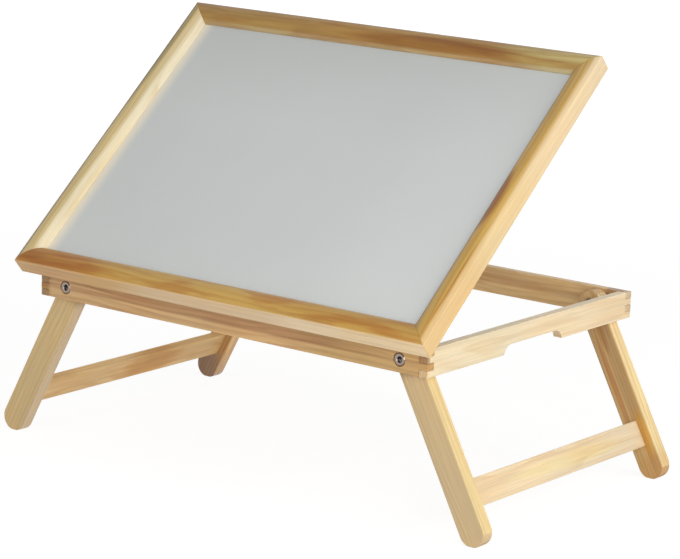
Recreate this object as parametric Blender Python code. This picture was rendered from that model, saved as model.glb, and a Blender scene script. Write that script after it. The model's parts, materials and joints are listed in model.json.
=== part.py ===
"""Bed tray: a pine lap table with a tilting framed top, folding leg pairs and a prop that folds flat.

The model is in metres with +Z up. It stands on its four feet, with the origin on the floor under
the middle of its bounding box. +X is to the right of the person who looks at the low front edge,
and +Y goes to the back, where the top stands high.

The base is four rails with box joints. Each leg pair turns on two connector bolts and opens until
the legs bear on the side rails. The top turns on two butt hinges on the front rail. A prop under
the top stands in the rearmost notch of a block on the front rail, and it folds back to lie flat.
"""

import math

import bmesh
import bpy
from mathutils import Matrix, Vector

# Driving sizes of the base frame, in metres.
BASE_WIDTH = 0.4960
BASE_DEPTH = 0.3530
RAIL_HEIGHT = 0.0278
RAIL_THICKNESS = 0.0100
RAIL_ARRIS = 0.0007
FINGER_COUNT = 4

# Hand cut-out in the bottom edge of each side rail.
CUTOUT_LENGTH = 0.1000
CUTOUT_DEPTH = 0.0095
CUTOUT_END_RADIUS = 0.0120

# Legs and stretchers.
LEG_WIDTH = 0.0290
LEG_THICKNESS = 0.0145
LEG_LENGTH = 0.1910
LEG_SPLAY = math.radians(28.0)
LEG_ARRIS = 0.0008
FOOT_FLAT = 0.0080
PIVOT_ABOVE_RAIL_BOTTOM = 0.0128
STRETCHER_FROM_PIVOT = 0.1283
STRETCHER_HEIGHT = 0.0278
STRETCHER_THICKNESS = 0.0085
STRETCHER_SET_OUT = 0.0032
STRETCHER_ARRIS = 0.0006
TENON_LENGTH = 0.0080
TENON_HEIGHT = 0.0190
TENON_THICKNESS = 0.0060

# Connector bolts, sleeve nuts and washers at the leg pivots.
BOLT_HEAD_RADIUS = 0.0068
BOLT_HEAD_THICKNESS = 0.0016
BOLT_HEAD_CHAMFER = 0.0006
BOLT_SHANK_RADIUS = 0.0032
SOCKET_FLATS = 0.0050
SOCKET_DEPTH = 0.0030
COUNTERBORE_DEPTH = 0.0021
SLEEVE_RADIUS = 0.0045
SLEEVE_HEAD_RADIUS = 0.0060
SLEEVE_HEAD_THICKNESS = 0.0015
SLEEVE_SOCKET_DEPTH = 0.0024
SLEEVE_END_WALL = 0.0042
WASHER_RADIUS = 0.0075
WASHER_THICKNESS = 0.0006

# Tray top. It closes over the base and stands past it by these overhangs.
TRAY_SIDE_OVERHANG = 0.0135
TRAY_REAR_OVERHANG = 0.0038
TRAY_TILT = math.radians(40.8)
MOULDING_WIDTH = 0.0250
MOULDING_HEIGHT = 0.0196
MOULDING_CROWN_SLOPE = math.radians(36.0)
MOULDING_TOP_ROUND = 0.0020
MOULDING_FOOT_ROUND = 0.0010
MOULDING_INNER_LIP = 0.0008
PANEL_FACE_HEIGHT = 0.0130
BOARD_THICKNESS = 0.0031
LAMINATE_THICKNESS = 0.0006
GROOVE_DEPTH = 0.0060
NAIL_LENGTH = 0.0110
NAIL_DEPTH = 0.0070
NAIL_THICKNESS = 0.0010

# Butt hinges between the front rail and the front moulding.
HINGE_ABOVE_RAIL = 0.0022
HINGE_BELOW_TRAY = 0.0022
HINGE_AHEAD_OF_RAIL = 0.0052
TRAY_LIP = 0.0108
HINGE_SPACING = 0.3000
HINGE_LENGTH = 0.0380
HINGE_LEAF_THICKNESS = 0.0012
HINGE_LEAF_REACH = 0.0142
KNUCKLE_RADIUS = 0.0019
HINGE_PIN_RADIUS = 0.0008
HINGE_SCREW_SPREAD = 0.0240
HINGE_SCREW_REACH = 0.0100
HINGE_SCREW_LENGTH = 0.0080
HINGE_SCREW_RADIUS = 0.0012
HINGE_SCREW_HEAD_RADIUS = 0.0022

# Prop, its lugs and batten, and the notched block.
PROP_PIVOT_FROM_HINGE = 0.1620
PROP_PIVOT_BELOW_TRAY = 0.0075
PROP_LEAN = math.radians(60.0)
PROP_ARM_WIDTH = 0.0140
PROP_ARM_THICKNESS = 0.0080
PROP_ARM_SPREAD = 0.0680
PROP_PIN_RADIUS = 0.0025
FOOT_DOWEL_RADIUS = 0.0040
FOOT_BELOW_RAIL_TOP = 0.0090
BATTEN_WIDTH = 0.0340
LUG_WIDTH = 0.0120
LUG_LENGTH = 0.0260
LUG_DROP = 0.0140
LUG_SPIGOT_RADIUS = 0.0045
LUG_SPIGOT_LENGTH = 0.0060
LUG_SPIGOT_ROOT = 0.0020
BLOCK_WIDTH = 0.0360
BLOCK_TOP_ABOVE_DOWEL = 0.0030
BLOCK_BOTTOM_CLEARANCE = 0.0018
NOTCH_COUNT = 3
NOTCH_PITCH = 0.0140
SEAT_END_ANGLE = math.radians(-128.0)
BLOCK_DOWEL_RADIUS = 0.0030
BLOCK_DOWEL_SPREAD = 0.0180
BLOCK_DOWEL_IN_RAIL = 0.0060
BLOCK_DOWEL_IN_BLOCK = 0.0100

# Bumpers on which the closed top rests.
BUMPER_RADIUS = 0.0050
BUMPER_INSET = 0.0480

# Clearances. GLUE_GAP is left between faces that touch, RUNNING_GAP round what turns.
GLUE_GAP = 0.0003
RUNNING_GAP = 0.0003
CUT_OVERRUN = 0.0020

# Facets of round shapes, and the angle from which an edge is shaded sharp.
ROUND_SIDES = 24
SMALL_SIDES = 16
ARC_STEPS = 10
ARRIS_STEPS = 2
SHARP_ANGLE = math.radians(35.0)

# Colours. A piece's warmth moves its pine from cream towards golden brown.
PINE_CREAM = Vector((0.72, 0.52, 0.28))
PINE_GOLD = Vector((0.56, 0.32, 0.11))
PINE_ROUGHNESS = 0.42
STEEL_COLOUR = (0.60, 0.60, 0.58)
STEEL_ROUGHNESS = 0.30
NYLON_COLOUR = (0.80, 0.79, 0.74)
NYLON_ROUGHNESS = 0.45
BOARD_COLOUR = (0.36, 0.24, 0.14)
BOARD_ROUGHNESS = 0.75
LAMINATE_COLOUR = (0.60, 0.62, 0.61)
LAMINATE_ROUGHNESS = 0.35
RUBBER_COLOUR = (0.05, 0.05, 0.05)
RUBBER_ROUGHNESS = 0.80
RAIL_WARMTH = {"front_rail": 0.35, "rear_rail": 0.55, "left_side_rail": 0.1, "right_side_rail": 0.1}
MOULDING_WARMTH = {"front": 0.9, "rear": 0.9, "left": 0.4, "right": 0.5}
LEG_WARMTH = 0.2
STRETCHER_WARMTH = 0.1
BATTEN_WARMTH = 0.5
LUG_WARMTH = 0.4
PROP_WARMTH = 0.3
DOWEL_WARMTH = 0.2

# Places worked out from the driving sizes.
FOOT_RADIUS = LEG_WIDTH / 2
FOOT_CENTRE_DISTANCE = LEG_LENGTH - FOOT_RADIUS
FOOT_CENTRE_HEIGHT = math.sqrt(FOOT_RADIUS**2 - (FOOT_FLAT / 2) ** 2)
PIVOT_HEIGHT = FOOT_CENTRE_DISTANCE * math.cos(LEG_SPLAY) + FOOT_CENTRE_HEIGHT
RAIL_BOTTOM = PIVOT_HEIGHT - PIVOT_ABOVE_RAIL_BOTTOM
RAIL_TOP = RAIL_BOTTOM + RAIL_HEIGHT
INNER_X = BASE_WIDTH / 2 - RAIL_THICKNESS
INNER_Y = BASE_DEPTH / 2 - RAIL_THICKNESS
STOP_REACH = LEG_WIDTH / 2 + GLUE_GAP + PIVOT_ABOVE_RAIL_BOTTOM * math.sin(LEG_SPLAY)
PIVOT_X = INNER_X - STOP_REACH / math.cos(LEG_SPLAY)
LEG_SIDE_GAP = WASHER_THICKNESS + 2 * GLUE_GAP
LEG_OUTER_Y = INNER_Y - LEG_SIDE_GAP
LEG_INNER_Y = LEG_OUTER_Y - LEG_THICKNESS
HINGE_Y = -BASE_DEPTH / 2 - HINGE_AHEAD_OF_RAIL
HINGE_Z = RAIL_TOP + HINGE_ABOVE_RAIL
TRAY_UNDERSIDE = HINGE_BELOW_TRAY
PANEL_TOP = TRAY_UNDERSIDE + PANEL_FACE_HEIGHT
BOARD_TOP = PANEL_TOP - LAMINATE_THICKNESS - GLUE_GAP
BOARD_BOTTOM = BOARD_TOP - BOARD_THICKNESS
TRAY_WIDTH = BASE_WIDTH + 2 * TRAY_SIDE_OVERHANG
TRAY_FRONT = -TRAY_LIP
TRAY_BACK = BASE_DEPTH / 2 - HINGE_Y + TRAY_REAR_OVERHANG
TRAY_DEPTH = TRAY_BACK - TRAY_FRONT
BATTEN_BOTTOM = TRAY_UNDERSIDE + GLUE_GAP
BATTEN_TOP = BOARD_BOTTOM - GLUE_GAP
PROP_PIVOT_LEVEL = TRAY_UNDERSIDE - PROP_PIVOT_BELOW_TRAY
TILT_SIN = math.sin(TRAY_TILT)
TILT_COS = math.cos(TRAY_TILT)
PROP_PIVOT_Y = HINGE_Y + PROP_PIVOT_FROM_HINGE * TILT_COS - PROP_PIVOT_LEVEL * TILT_SIN
PROP_PIVOT_Z = HINGE_Z + PROP_PIVOT_FROM_HINGE * TILT_SIN + PROP_PIVOT_LEVEL * TILT_COS
FOOT_DOWEL_Z = RAIL_TOP - FOOT_BELOW_RAIL_TOP
PROP_LENGTH = (PROP_PIVOT_Z - FOOT_DOWEL_Z) / math.sin(PROP_LEAN)
FOOT_DOWEL_Y = PROP_PIVOT_Y - PROP_LENGTH * math.cos(PROP_LEAN)
BUMPER_HEIGHT = HINGE_ABOVE_RAIL + HINGE_BELOW_TRAY - 2 * GLUE_GAP


# Materials.

def make_material(name, colour, roughness, metallic=0.0):
    """Return a plain Principled material."""
    material = bpy.data.materials.new(name)
    material.use_nodes = True
    shader = material.node_tree.nodes["Principled BSDF"]
    shader.inputs["Base Color"].default_value = (*colour, 1.0)
    shader.inputs["Roughness"].default_value = roughness
    shader.inputs["Metallic"].default_value = metallic
    return material


def pine(name, warmth):
    """Return clear-lacquered pine; warmth moves it from cream towards golden brown."""
    return make_material(name, PINE_CREAM.lerp(PINE_GOLD, warmth), PINE_ROUGHNESS)


def steel(name):
    """Return zinc-plated steel."""
    return make_material(name, STEEL_COLOUR, STEEL_ROUGHNESS, metallic=1.0)


# Outlines, as lists of points in a plane.

def arc(centre, radius, start, end, steps):
    """Return points along an arc from start to end, both in radians."""
    points = []
    for index in range(steps + 1):
        angle = start + (end - start) * index / steps
        points.append((centre[0] + radius * math.cos(angle), centre[1] + radius * math.sin(angle)))
    return points


def rounded_rectangle(low, high, radius, steps=ARRIS_STEPS):
    """Return a rectangle from its low to its high corner with its corners rounded."""
    left, bottom = low
    right, top = high
    quarter = math.pi / 2
    outline = arc((right - radius, top - radius), radius, 0.0, quarter, steps)
    outline += arc((left + radius, top - radius), radius, quarter, 2 * quarter, steps)
    outline += arc((left + radius, bottom + radius), radius, 2 * quarter, 3 * quarter, steps)
    outline += arc((right - radius, bottom + radius), radius, 3 * quarter, 4 * quarter, steps)
    return outline


def bar_outline(length, radius, steps=ARC_STEPS):
    """Return a bar with half-round ends, its first end centre at zero and its length along -Y."""
    outline = arc((0.0, 0.0), radius, 0.0, math.pi, steps)
    outline += arc((0.0, -length), radius, math.pi, 2 * math.pi, steps)
    return outline


# Solids.

def extrude_outline(bm, outline, depth, place):
    """Add the outline's prism: outline in local XY, depth along local Z from zero, then placed."""
    corners = [bm.verts.new(place @ Vector((x, y, 0.0))) for x, y in outline]
    face = bm.faces.new(corners)
    grown = bmesh.ops.extrude_face_region(bm, geom=[face])
    lifted = [item for item in grown["geom"] if isinstance(item, bmesh.types.BMVert)]
    shift = place.to_3x3() @ Vector((0.0, 0.0, depth))
    bmesh.ops.translate(bm, vec=shift, verts=lifted)


def add_box(bm, low, high):
    """Add a box from its low to its high corner."""
    centre = (Vector(low) + Vector(high)) / 2
    size = Vector(high) - Vector(low)
    place = Matrix.Translation(centre) @ Matrix.Diagonal((*size, 1.0))
    bmesh.ops.create_cube(bm, size=1.0, matrix=place)


def append_solid(bm, solid, place):
    """Move a separate solid to its place, add it to the mesh and free it."""
    bmesh.ops.transform(solid, matrix=place, verts=solid.verts)
    carried = bpy.data.meshes.new("carried_solid")
    solid.to_mesh(carried)
    solid.free()
    bm.from_mesh(carried)
    bpy.data.meshes.remove(carried)


def turn_outline(bm, outline, place, sides, closed=False):
    """Add a turned solid: outline points are (radius, height) and the axis is local Z, then placed."""
    turned = bmesh.new()
    corners = [turned.verts.new((radius, 0.0, height)) for radius, height in outline]
    edges = [turned.edges.new(pair) for pair in zip(corners, corners[1:])]
    if closed:
        edges.append(turned.edges.new((corners[-1], corners[0])))
    bmesh.ops.spin(
        turned,
        geom=corners + edges,
        cent=(0.0, 0.0, 0.0),
        axis=(0.0, 0.0, 1.0),
        angle=2 * math.pi,
        steps=sides,
        use_merge=True,
    )
    bmesh.ops.remove_doubles(turned, verts=turned.verts, dist=1e-6)
    append_solid(bm, turned, place)


def add_rod(bm, radius, start, end, sides=SMALL_SIDES):
    """Add a plain round rod between two points."""
    start = Vector(start)
    axis = Vector(end) - start
    turn = axis.to_track_quat("Z", "Y").to_matrix().to_4x4()
    outline = [(0.0, 0.0), (radius, 0.0), (radius, axis.length), (0.0, axis.length)]
    turn_outline(bm, outline, Matrix.Translation(start) @ turn, sides)


def along_x(x, y, z):
    """Return the placement whose local XYZ are the model's Y, Z and X, with its zero at x, y, z."""
    return Matrix.Translation((x, y, z)) @ Matrix(((0, 0, 1, 0), (1, 0, 0, 0), (0, 1, 0, 0), (0, 0, 0, 1)))


def along_y(x, y, z):
    """Return the placement whose local XYZ are the model's Z, X and Y, with its zero at x, y, z."""
    return Matrix.Translation((x, y, z)) @ Matrix(((0, 1, 0, 0), (0, 0, 1, 0), (1, 0, 0, 0), (0, 0, 0, 1)))


def finish_object(name, bm, parent, material):
    """Make the mesh an object under its parent, with its faces pointing out."""
    bmesh.ops.recalc_face_normals(bm, faces=bm.faces)
    mesh = bpy.data.meshes.new(name)
    bm.to_mesh(mesh)
    bm.free()
    mesh.shade_smooth()
    mesh.set_sharp_from_angle(angle=SHARP_ANGLE)
    piece = bpy.data.objects.new(name, mesh)
    bpy.context.scene.collection.objects.link(piece)
    piece.parent = parent
    piece.data.materials.append(material)
    return piece


def make_cutter(name, bm, parent):
    """Make the mesh a hidden cutter under its parent."""
    bmesh.ops.recalc_face_normals(bm, faces=bm.faces)
    mesh = bpy.data.meshes.new(name)
    bm.to_mesh(mesh)
    bm.free()
    cutter = bpy.data.objects.new(name, mesh)
    bpy.context.scene.collection.objects.link(cutter)
    cutter.parent = parent
    cutter.hide_render = True
    cutter.display_type = "WIRE"
    return cutter


def boolean(piece, other, operation="DIFFERENCE"):
    """Cut the piece by another object, or join that object to it."""
    modifier = piece.modifiers.new(other.name, "BOOLEAN")
    modifier.operation = operation
    modifier.solver = "EXACT"
    modifier.object = other


def add_empty(name, parent, place):
    """Add an empty that carries a moving group."""
    empty = bpy.data.objects.new(name, None)
    bpy.context.scene.collection.objects.link(empty)
    empty.parent = parent
    empty.matrix_basis = place
    empty.empty_display_size = 0.05
    return empty


# Base frame.

def finger_cutter(name, root, along, first):
    """Cutter for every second finger at both ends of a rail, where the other rail's fingers go."""
    bm = bmesh.new()
    finger = RAIL_HEIGHT / FINGER_COUNT
    length, width = (BASE_WIDTH, BASE_DEPTH) if along == "x" else (BASE_DEPTH, BASE_WIDTH)
    for index in range(first, FINGER_COUNT, 2):
        low_z = RAIL_BOTTOM + index * finger - GLUE_GAP / 2
        high_z = RAIL_BOTTOM + (index + 1) * finger + GLUE_GAP / 2
        low_z = low_z - CUT_OVERRUN if index == 0 else low_z
        high_z = high_z + CUT_OVERRUN if index == FINGER_COUNT - 1 else high_z
        for side in (-1, 1):
            inner = side * (length / 2 - RAIL_THICKNESS - GLUE_GAP)
            outer = side * (length / 2 + CUT_OVERRUN)
            across = width / 2 + CUT_OVERRUN
            if along == "x":
                add_box(bm, (min(inner, outer), -across, low_z), (max(inner, outer), across, high_z))
            else:
                add_box(bm, (-across, min(inner, outer), low_z), (across, max(inner, outer), high_z))
    return make_cutter(name, bm, root)


def pivot_places():
    """Return each leg pivot's name and placement: zero on the rail's outer face, local Z inwards."""
    places = []
    for side_word, side in (("left", -1), ("right", 1)):
        for end_word, end in (("front", -1), ("rear", 1)):
            turn = Matrix.Rotation(end * math.pi / 2, 4, "X")
            spot = Matrix.Translation((side * PIVOT_X, end * BASE_DEPTH / 2, PIVOT_HEIGHT))
            places.append((f"{end_word}_{side_word}", spot @ turn))
    return places


def pivot_bore_cutter(root):
    """Cutter for the counterbores and the sleeve holes of all four leg pivots."""
    bm = bmesh.new()
    hole = SLEEVE_RADIUS + RUNNING_GAP
    bore = BOLT_HEAD_RADIUS + GLUE_GAP
    outline = [
        (0.0, -CUT_OVERRUN),
        (bore, -CUT_OVERRUN),
        (bore, COUNTERBORE_DEPTH),
        (hole, COUNTERBORE_DEPTH),
        (hole, RAIL_THICKNESS + CUT_OVERRUN),
        (0.0, RAIL_THICKNESS + CUT_OVERRUN),
    ]
    for _, place in pivot_places():
        turn_outline(bm, outline, place, ROUND_SIDES)
    return make_cutter("pivot_bore_cutter", bm, root)


def cutout_cutter(root):
    """Cutter for the hand cut-outs: a flat-topped slot with coved ends, open at the bottom edge."""
    bm = bmesh.new()
    half = CUTOUT_LENGTH / 2
    sweep = math.acos(1.0 - min(CUTOUT_DEPTH / CUTOUT_END_RADIUS, 1.0))
    run = CUTOUT_END_RADIUS * math.sin(sweep)
    centre_z = CUTOUT_DEPTH - CUTOUT_END_RADIUS
    right = arc((half - run, centre_z), CUTOUT_END_RADIUS, math.pi / 2 - sweep, math.pi / 2, ARC_STEPS)
    left = arc((run - half, centre_z), CUTOUT_END_RADIUS, math.pi / 2, math.pi / 2 + sweep, ARC_STEPS)
    outline = [(half, -CUT_OVERRUN), *right, *left, (-half, -CUT_OVERRUN)]
    depth = BASE_WIDTH + 2 * CUT_OVERRUN
    extrude_outline(bm, outline, depth, along_x(-depth / 2, 0.0, RAIL_BOTTOM))
    return make_cutter("hand_cutout_cutter", bm, root)


def make_rails(root, bores, lower_screw_cutter, dowel_cutter):
    """Make the four rails: boards with eased edges, finger-jointed at the corners."""
    short_fingers = finger_cutter("front_finger_cutter", root, "x", 0)
    long_fingers = finger_cutter("side_finger_cutter", root, "y", 1)
    cutouts = cutout_cutter(root)
    for name, end in (("front_rail", -1), ("rear_rail", 1)):
        bm = bmesh.new()
        low = (min(end * BASE_DEPTH / 2, end * INNER_Y), RAIL_BOTTOM)
        high = (max(end * BASE_DEPTH / 2, end * INNER_Y), RAIL_TOP)
        section = rounded_rectangle(low, high, RAIL_ARRIS)
        extrude_outline(bm, section, BASE_WIDTH, along_x(-BASE_WIDTH / 2, 0.0, 0.0))
        rail = finish_object(name, bm, root, pine(name, RAIL_WARMTH[name]))
        boolean(rail, short_fingers)
        boolean(rail, bores)
        if end < 0:
            boolean(rail, lower_screw_cutter)
            boolean(rail, dowel_cutter)
    for name, side in (("left_side_rail", -1), ("right_side_rail", 1)):
        bm = bmesh.new()
        low = (RAIL_BOTTOM, min(side * BASE_WIDTH / 2, side * INNER_X))
        high = (RAIL_TOP, max(side * BASE_WIDTH / 2, side * INNER_X))
        section = rounded_rectangle(low, high, RAIL_ARRIS)
        extrude_outline(bm, section, BASE_DEPTH, along_y(0.0, -BASE_DEPTH / 2, 0.0))
        rail = finish_object(name, bm, root, pine(name, RAIL_WARMTH[name]))
        boolean(rail, long_fingers)
        boolean(rail, cutouts)


# Leg pivots.

def hexagon(flats):
    """Return a hexagon with the given distance across its flats."""
    radius = flats / math.sqrt(3)
    return [(radius * math.cos(k * math.pi / 3), radius * math.sin(k * math.pi / 3)) for k in range(6)]


def turned_piece(name, outline, place, parent, material, closed=False):
    """Make one turned piece."""
    bm = bmesh.new()
    turn_outline(bm, outline, place, ROUND_SIDES, closed)
    return finish_object(name, bm, parent, material)


def make_pivot_hardware(root):
    """Make the connector bolt, sleeve nut and washer of each leg pivot."""
    head_top = COUNTERBORE_DEPTH - GLUE_GAP - BOLT_HEAD_THICKNESS
    sleeve_start = COUNTERBORE_DEPTH + GLUE_GAP
    sleeve_end = RAIL_THICKNESS + LEG_SIDE_GAP + LEG_THICKNESS + GLUE_GAP
    nut_face = sleeve_end + SLEEVE_HEAD_THICKNESS
    bore = BOLT_SHANK_RADIUS + GLUE_GAP
    bore_end = nut_face - SLEEVE_END_WALL
    shank_end = bore_end - GLUE_GAP
    washer_start = RAIL_THICKNESS + GLUE_GAP
    bolt_outline = [
        (0.0, head_top),
        (BOLT_HEAD_RADIUS - BOLT_HEAD_CHAMFER, head_top),
        (BOLT_HEAD_RADIUS, head_top + BOLT_HEAD_CHAMFER),
        (BOLT_HEAD_RADIUS, head_top + BOLT_HEAD_THICKNESS),
        (BOLT_SHANK_RADIUS, head_top + BOLT_HEAD_THICKNESS),
        (BOLT_SHANK_RADIUS, shank_end),
        (0.0, shank_end),
    ]
    nut_outline = [
        (0.0, bore_end),
        (bore, bore_end),
        (bore, sleeve_start),
        (SLEEVE_RADIUS, sleeve_start),
        (SLEEVE_RADIUS, sleeve_end),
        (SLEEVE_HEAD_RADIUS, sleeve_end),
        (SLEEVE_HEAD_RADIUS, nut_face - BOLT_HEAD_CHAMFER),
        (SLEEVE_HEAD_RADIUS - BOLT_HEAD_CHAMFER, nut_face),
        (0.0, nut_face),
    ]
    washer_outline = [
        (SLEEVE_RADIUS + RUNNING_GAP, washer_start),
        (WASHER_RADIUS, washer_start),
        (WASHER_RADIUS, washer_start + WASHER_THICKNESS),
        (SLEEVE_RADIUS + RUNNING_GAP, washer_start + WASHER_THICKNESS),
    ]
    sockets = bmesh.new()
    for _, place in pivot_places():
        bolt_socket = place @ Matrix.Translation((0.0, 0.0, head_top - CUT_OVERRUN))
        extrude_outline(sockets, hexagon(SOCKET_FLATS), SOCKET_DEPTH + CUT_OVERRUN, bolt_socket)
        nut_socket = place @ Matrix.Translation((0.0, 0.0, nut_face - SLEEVE_SOCKET_DEPTH))
        extrude_outline(sockets, hexagon(SOCKET_FLATS), SLEEVE_SOCKET_DEPTH + CUT_OVERRUN, nut_socket)
    socket_cutter = make_cutter("hex_socket_cutter", sockets, root)
    zinc = steel("zinc_pivots")
    nylon = make_material("nylon_washers", NYLON_COLOUR, NYLON_ROUGHNESS)
    for spot, place in pivot_places():
        bolt = turned_piece(f"{spot}_pivot_bolt", bolt_outline, place, root, zinc)
        boolean(bolt, socket_cutter)
        nut = turned_piece(f"{spot}_sleeve_nut", nut_outline, place, root, zinc)
        boolean(nut, socket_cutter)
        turned_piece(f"{spot}_pivot_washer", washer_outline, place, root, nylon, closed=True)


# Leg pairs.

def leg_sleeve_cutter(name, carrier):
    """Cutter for the sleeve holes of one leg pair."""
    bm = bmesh.new()
    reach = BASE_DEPTH / 2
    add_rod(bm, SLEEVE_RADIUS + RUNNING_GAP, (0.0, -reach, 0.0), (0.0, reach, 0.0), ROUND_SIDES)
    return make_cutter(name, bm, carrier)


def stretcher_span(side):
    """Return the low and high X of a stretcher across the leg's width, outer face set out."""
    outer = STRETCHER_SET_OUT
    inner = STRETCHER_SET_OUT - STRETCHER_THICKNESS
    return (min(side * inner, side * outer), max(side * inner, side * outer))


def make_leg_pair(root, word, side):
    """Make two legs and the stretcher between them, which turn together on the pivot bolts."""
    splay = Matrix.Rotation(-side * LEG_SPLAY, 4, "Y")
    pivot = Matrix.Translation((side * PIVOT_X, 0.0, PIVOT_HEIGHT))
    carrier = add_empty(f"{word}_leg_pivot", root, pivot @ splay)
    sleeve_hole = leg_sleeve_cutter(f"{word}_leg_hole_cutter", carrier)
    low_x, high_x = stretcher_span(side)
    middle_x = (low_x + high_x) / 2
    middle_z = -STRETCHER_FROM_PIVOT - STRETCHER_HEIGHT / 2
    tenon_half = Vector((TENON_THICKNESS / 2, 0.0, TENON_HEIGHT / 2))
    mortise_half = tenon_half + Vector((GLUE_GAP, 0.0, GLUE_GAP))
    mortise_reach = LEG_INNER_Y + TENON_LENGTH + GLUE_GAP

    mortises = bmesh.new()
    centre = Vector((middle_x, 0.0, middle_z))
    add_box(
        mortises,
        centre - mortise_half - Vector((0.0, mortise_reach, 0.0)),
        centre + mortise_half + Vector((0.0, mortise_reach, 0.0)),
    )
    mortise_cutter = make_cutter(f"{word}_mortise_cutter", mortises, carrier)

    floor = bmesh.new()
    along = FOOT_CENTRE_DISTANCE + FOOT_CENTRE_HEIGHT / math.cos(LEG_SPLAY)
    slab = 4 * LEG_WIDTH
    add_box(floor, (-slab, -BASE_DEPTH, -slab), (slab, BASE_DEPTH, 0.0))
    level = Matrix.Translation((0.0, 0.0, -along)) @ splay.inverted()
    bmesh.ops.transform(floor, matrix=level, verts=floor.verts)
    floor_cutter = make_cutter(f"{word}_foot_flat_cutter", floor, carrier)

    for end_word, end in (("front", -1), ("rear", 1)):
        bm = bmesh.new()
        outline = bar_outline(FOOT_CENTRE_DISTANCE, FOOT_RADIUS)
        start_y = min(end * LEG_INNER_Y, end * LEG_OUTER_Y)
        flip = Matrix(((1, 0, 0, 0), (0, 0, 1, 0), (0, 1, 0, 0), (0, 0, 0, 1)))
        extrude_outline(bm, outline, LEG_THICKNESS, Matrix.Translation((0.0, start_y, 0.0)) @ flip)
        rims = [edge for edge in bm.edges if abs(edge.verts[0].co.y - edge.verts[1].co.y) < LEG_ARRIS]
        bmesh.ops.bevel(bm, geom=rims, offset=LEG_ARRIS, segments=ARRIS_STEPS, affect="EDGES", profile=0.5)
        name = f"{word}_{end_word}_leg"
        leg = finish_object(name, bm, carrier, pine(name, LEG_WARMTH))
        boolean(leg, sleeve_hole)
        boolean(leg, mortise_cutter)
        boolean(leg, floor_cutter)

    bm = bmesh.new()
    body_reach = LEG_INNER_Y - GLUE_GAP
    bar_low = (middle_z - STRETCHER_HEIGHT / 2, low_x)
    bar_high = (middle_z + STRETCHER_HEIGHT / 2, high_x)
    section = rounded_rectangle(bar_low, bar_high, STRETCHER_ARRIS)
    extrude_outline(bm, section, 2 * body_reach, along_y(0.0, -body_reach, 0.0))
    name = f"{word}_stretcher"
    stretcher = finish_object(name, bm, carrier, pine(name, STRETCHER_WARMTH))
    tenons = bmesh.new()
    tenon_reach = Vector((0.0, LEG_INNER_Y + TENON_LENGTH, 0.0))
    add_box(tenons, centre - tenon_half - tenon_reach, centre + tenon_half + tenon_reach)
    boolean(stretcher, make_cutter(f"{word}_tenon_core", tenons, carrier), "UNION")


# Tray top.

def moulding_section():
    """Return the moulding's section as (distance in from the outer edge, height over the hinge axis).

    The outer face is upright and rounds over into the crown. The crown is one arc that rises at
    the crown's slope and falls to a thin lip over the panel, and a groove takes the panel.
    """
    base = TRAY_UNDERSIDE
    top = base + MOULDING_HEIGHT
    lip_top = PANEL_TOP + MOULDING_INNER_LIP
    groove_top = PANEL_TOP + GLUE_GAP
    groove_bottom = BOARD_BOTTOM - GLUE_GAP
    groove_back = MOULDING_WIDTH - GROOVE_DEPTH
    foot = MOULDING_FOOT_ROUND
    over = MOULDING_TOP_ROUND
    outline = arc((foot, base + foot), foot, 1.5 * math.pi, math.pi, ARRIS_STEPS + 1)
    slope = MOULDING_CROWN_SLOPE
    start_angle = math.pi / 2 + slope
    outline += arc((over, top - over), over, math.pi, start_angle, ARRIS_STEPS + 2)
    start = outline[-1]
    run = MOULDING_WIDTH - start[0]
    drop = start[1] - lip_top
    half_sweep = slope + math.atan2(drop, run)
    crown_radius = math.hypot(run, drop) / 2 / math.sin(half_sweep)
    crown_centre = (start[0] + crown_radius * math.sin(slope), start[1] - crown_radius * math.cos(slope))
    crown = arc(crown_centre, crown_radius, start_angle, start_angle - 2 * half_sweep, ARC_STEPS)
    outline += crown[1:]
    outline += [
        (MOULDING_WIDTH, groove_top),
        (groove_back, groove_top),
        (groove_back, groove_bottom),
        (MOULDING_WIDTH, groove_bottom),
    ]
    edge = RAIL_ARRIS
    outline += arc((MOULDING_WIDTH - edge, base + edge), edge, 0.0, -math.pi / 2, ARRIS_STEPS)
    return outline


def add_mitred_bar(bm, section, half_length, place):
    """Add a bar whose ends are cut at 45 degrees, so that the outer edge is the long one."""
    trim = GLUE_GAP / math.sqrt(2)
    left = []
    right = []
    for inset, height in section:
        reach = half_length - inset - trim
        left.append(bm.verts.new(place @ Vector((-reach, inset, height))))
        right.append(bm.verts.new(place @ Vector((reach, inset, height))))
    bm.faces.new(left)
    bm.faces.new(list(reversed(right)))
    count = len(section)
    for index in range(count):
        following = (index + 1) % count
        bm.faces.new((left[index], right[index], right[following], left[following]))


def nail_places():
    """Return each corner nail's name and placement across its mitre."""
    inset = MOULDING_WIDTH / 2
    places = []
    for side_word, side in (("left", -1), ("right", 1)):
        for end_word, edge, toward in (("front", TRAY_FRONT, 1), ("rear", TRAY_BACK, -1)):
            turn = Matrix.Rotation(side * toward * math.pi / 4, 4, "Z")
            shift = Matrix.Translation((side * (TRAY_WIDTH / 2 - inset), edge + toward * inset, 0.0))
            places.append((f"{end_word}_{side_word}_mitre_nail", shift @ turn))
    return places


def nail_strip(grow):
    """Return one corner nail, a flat strip flush with the underside, grown by a clearance."""
    strip = bmesh.new()
    top = TRAY_UNDERSIDE + NAIL_DEPTH + grow
    bottom = TRAY_UNDERSIDE - (CUT_OVERRUN if grow else 0.0)
    half_length = NAIL_LENGTH / 2 + grow
    half_thickness = NAIL_THICKNESS / 2 + grow
    add_box(strip, (-half_length, -half_thickness, bottom), (half_length, half_thickness, top))
    return strip


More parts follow.
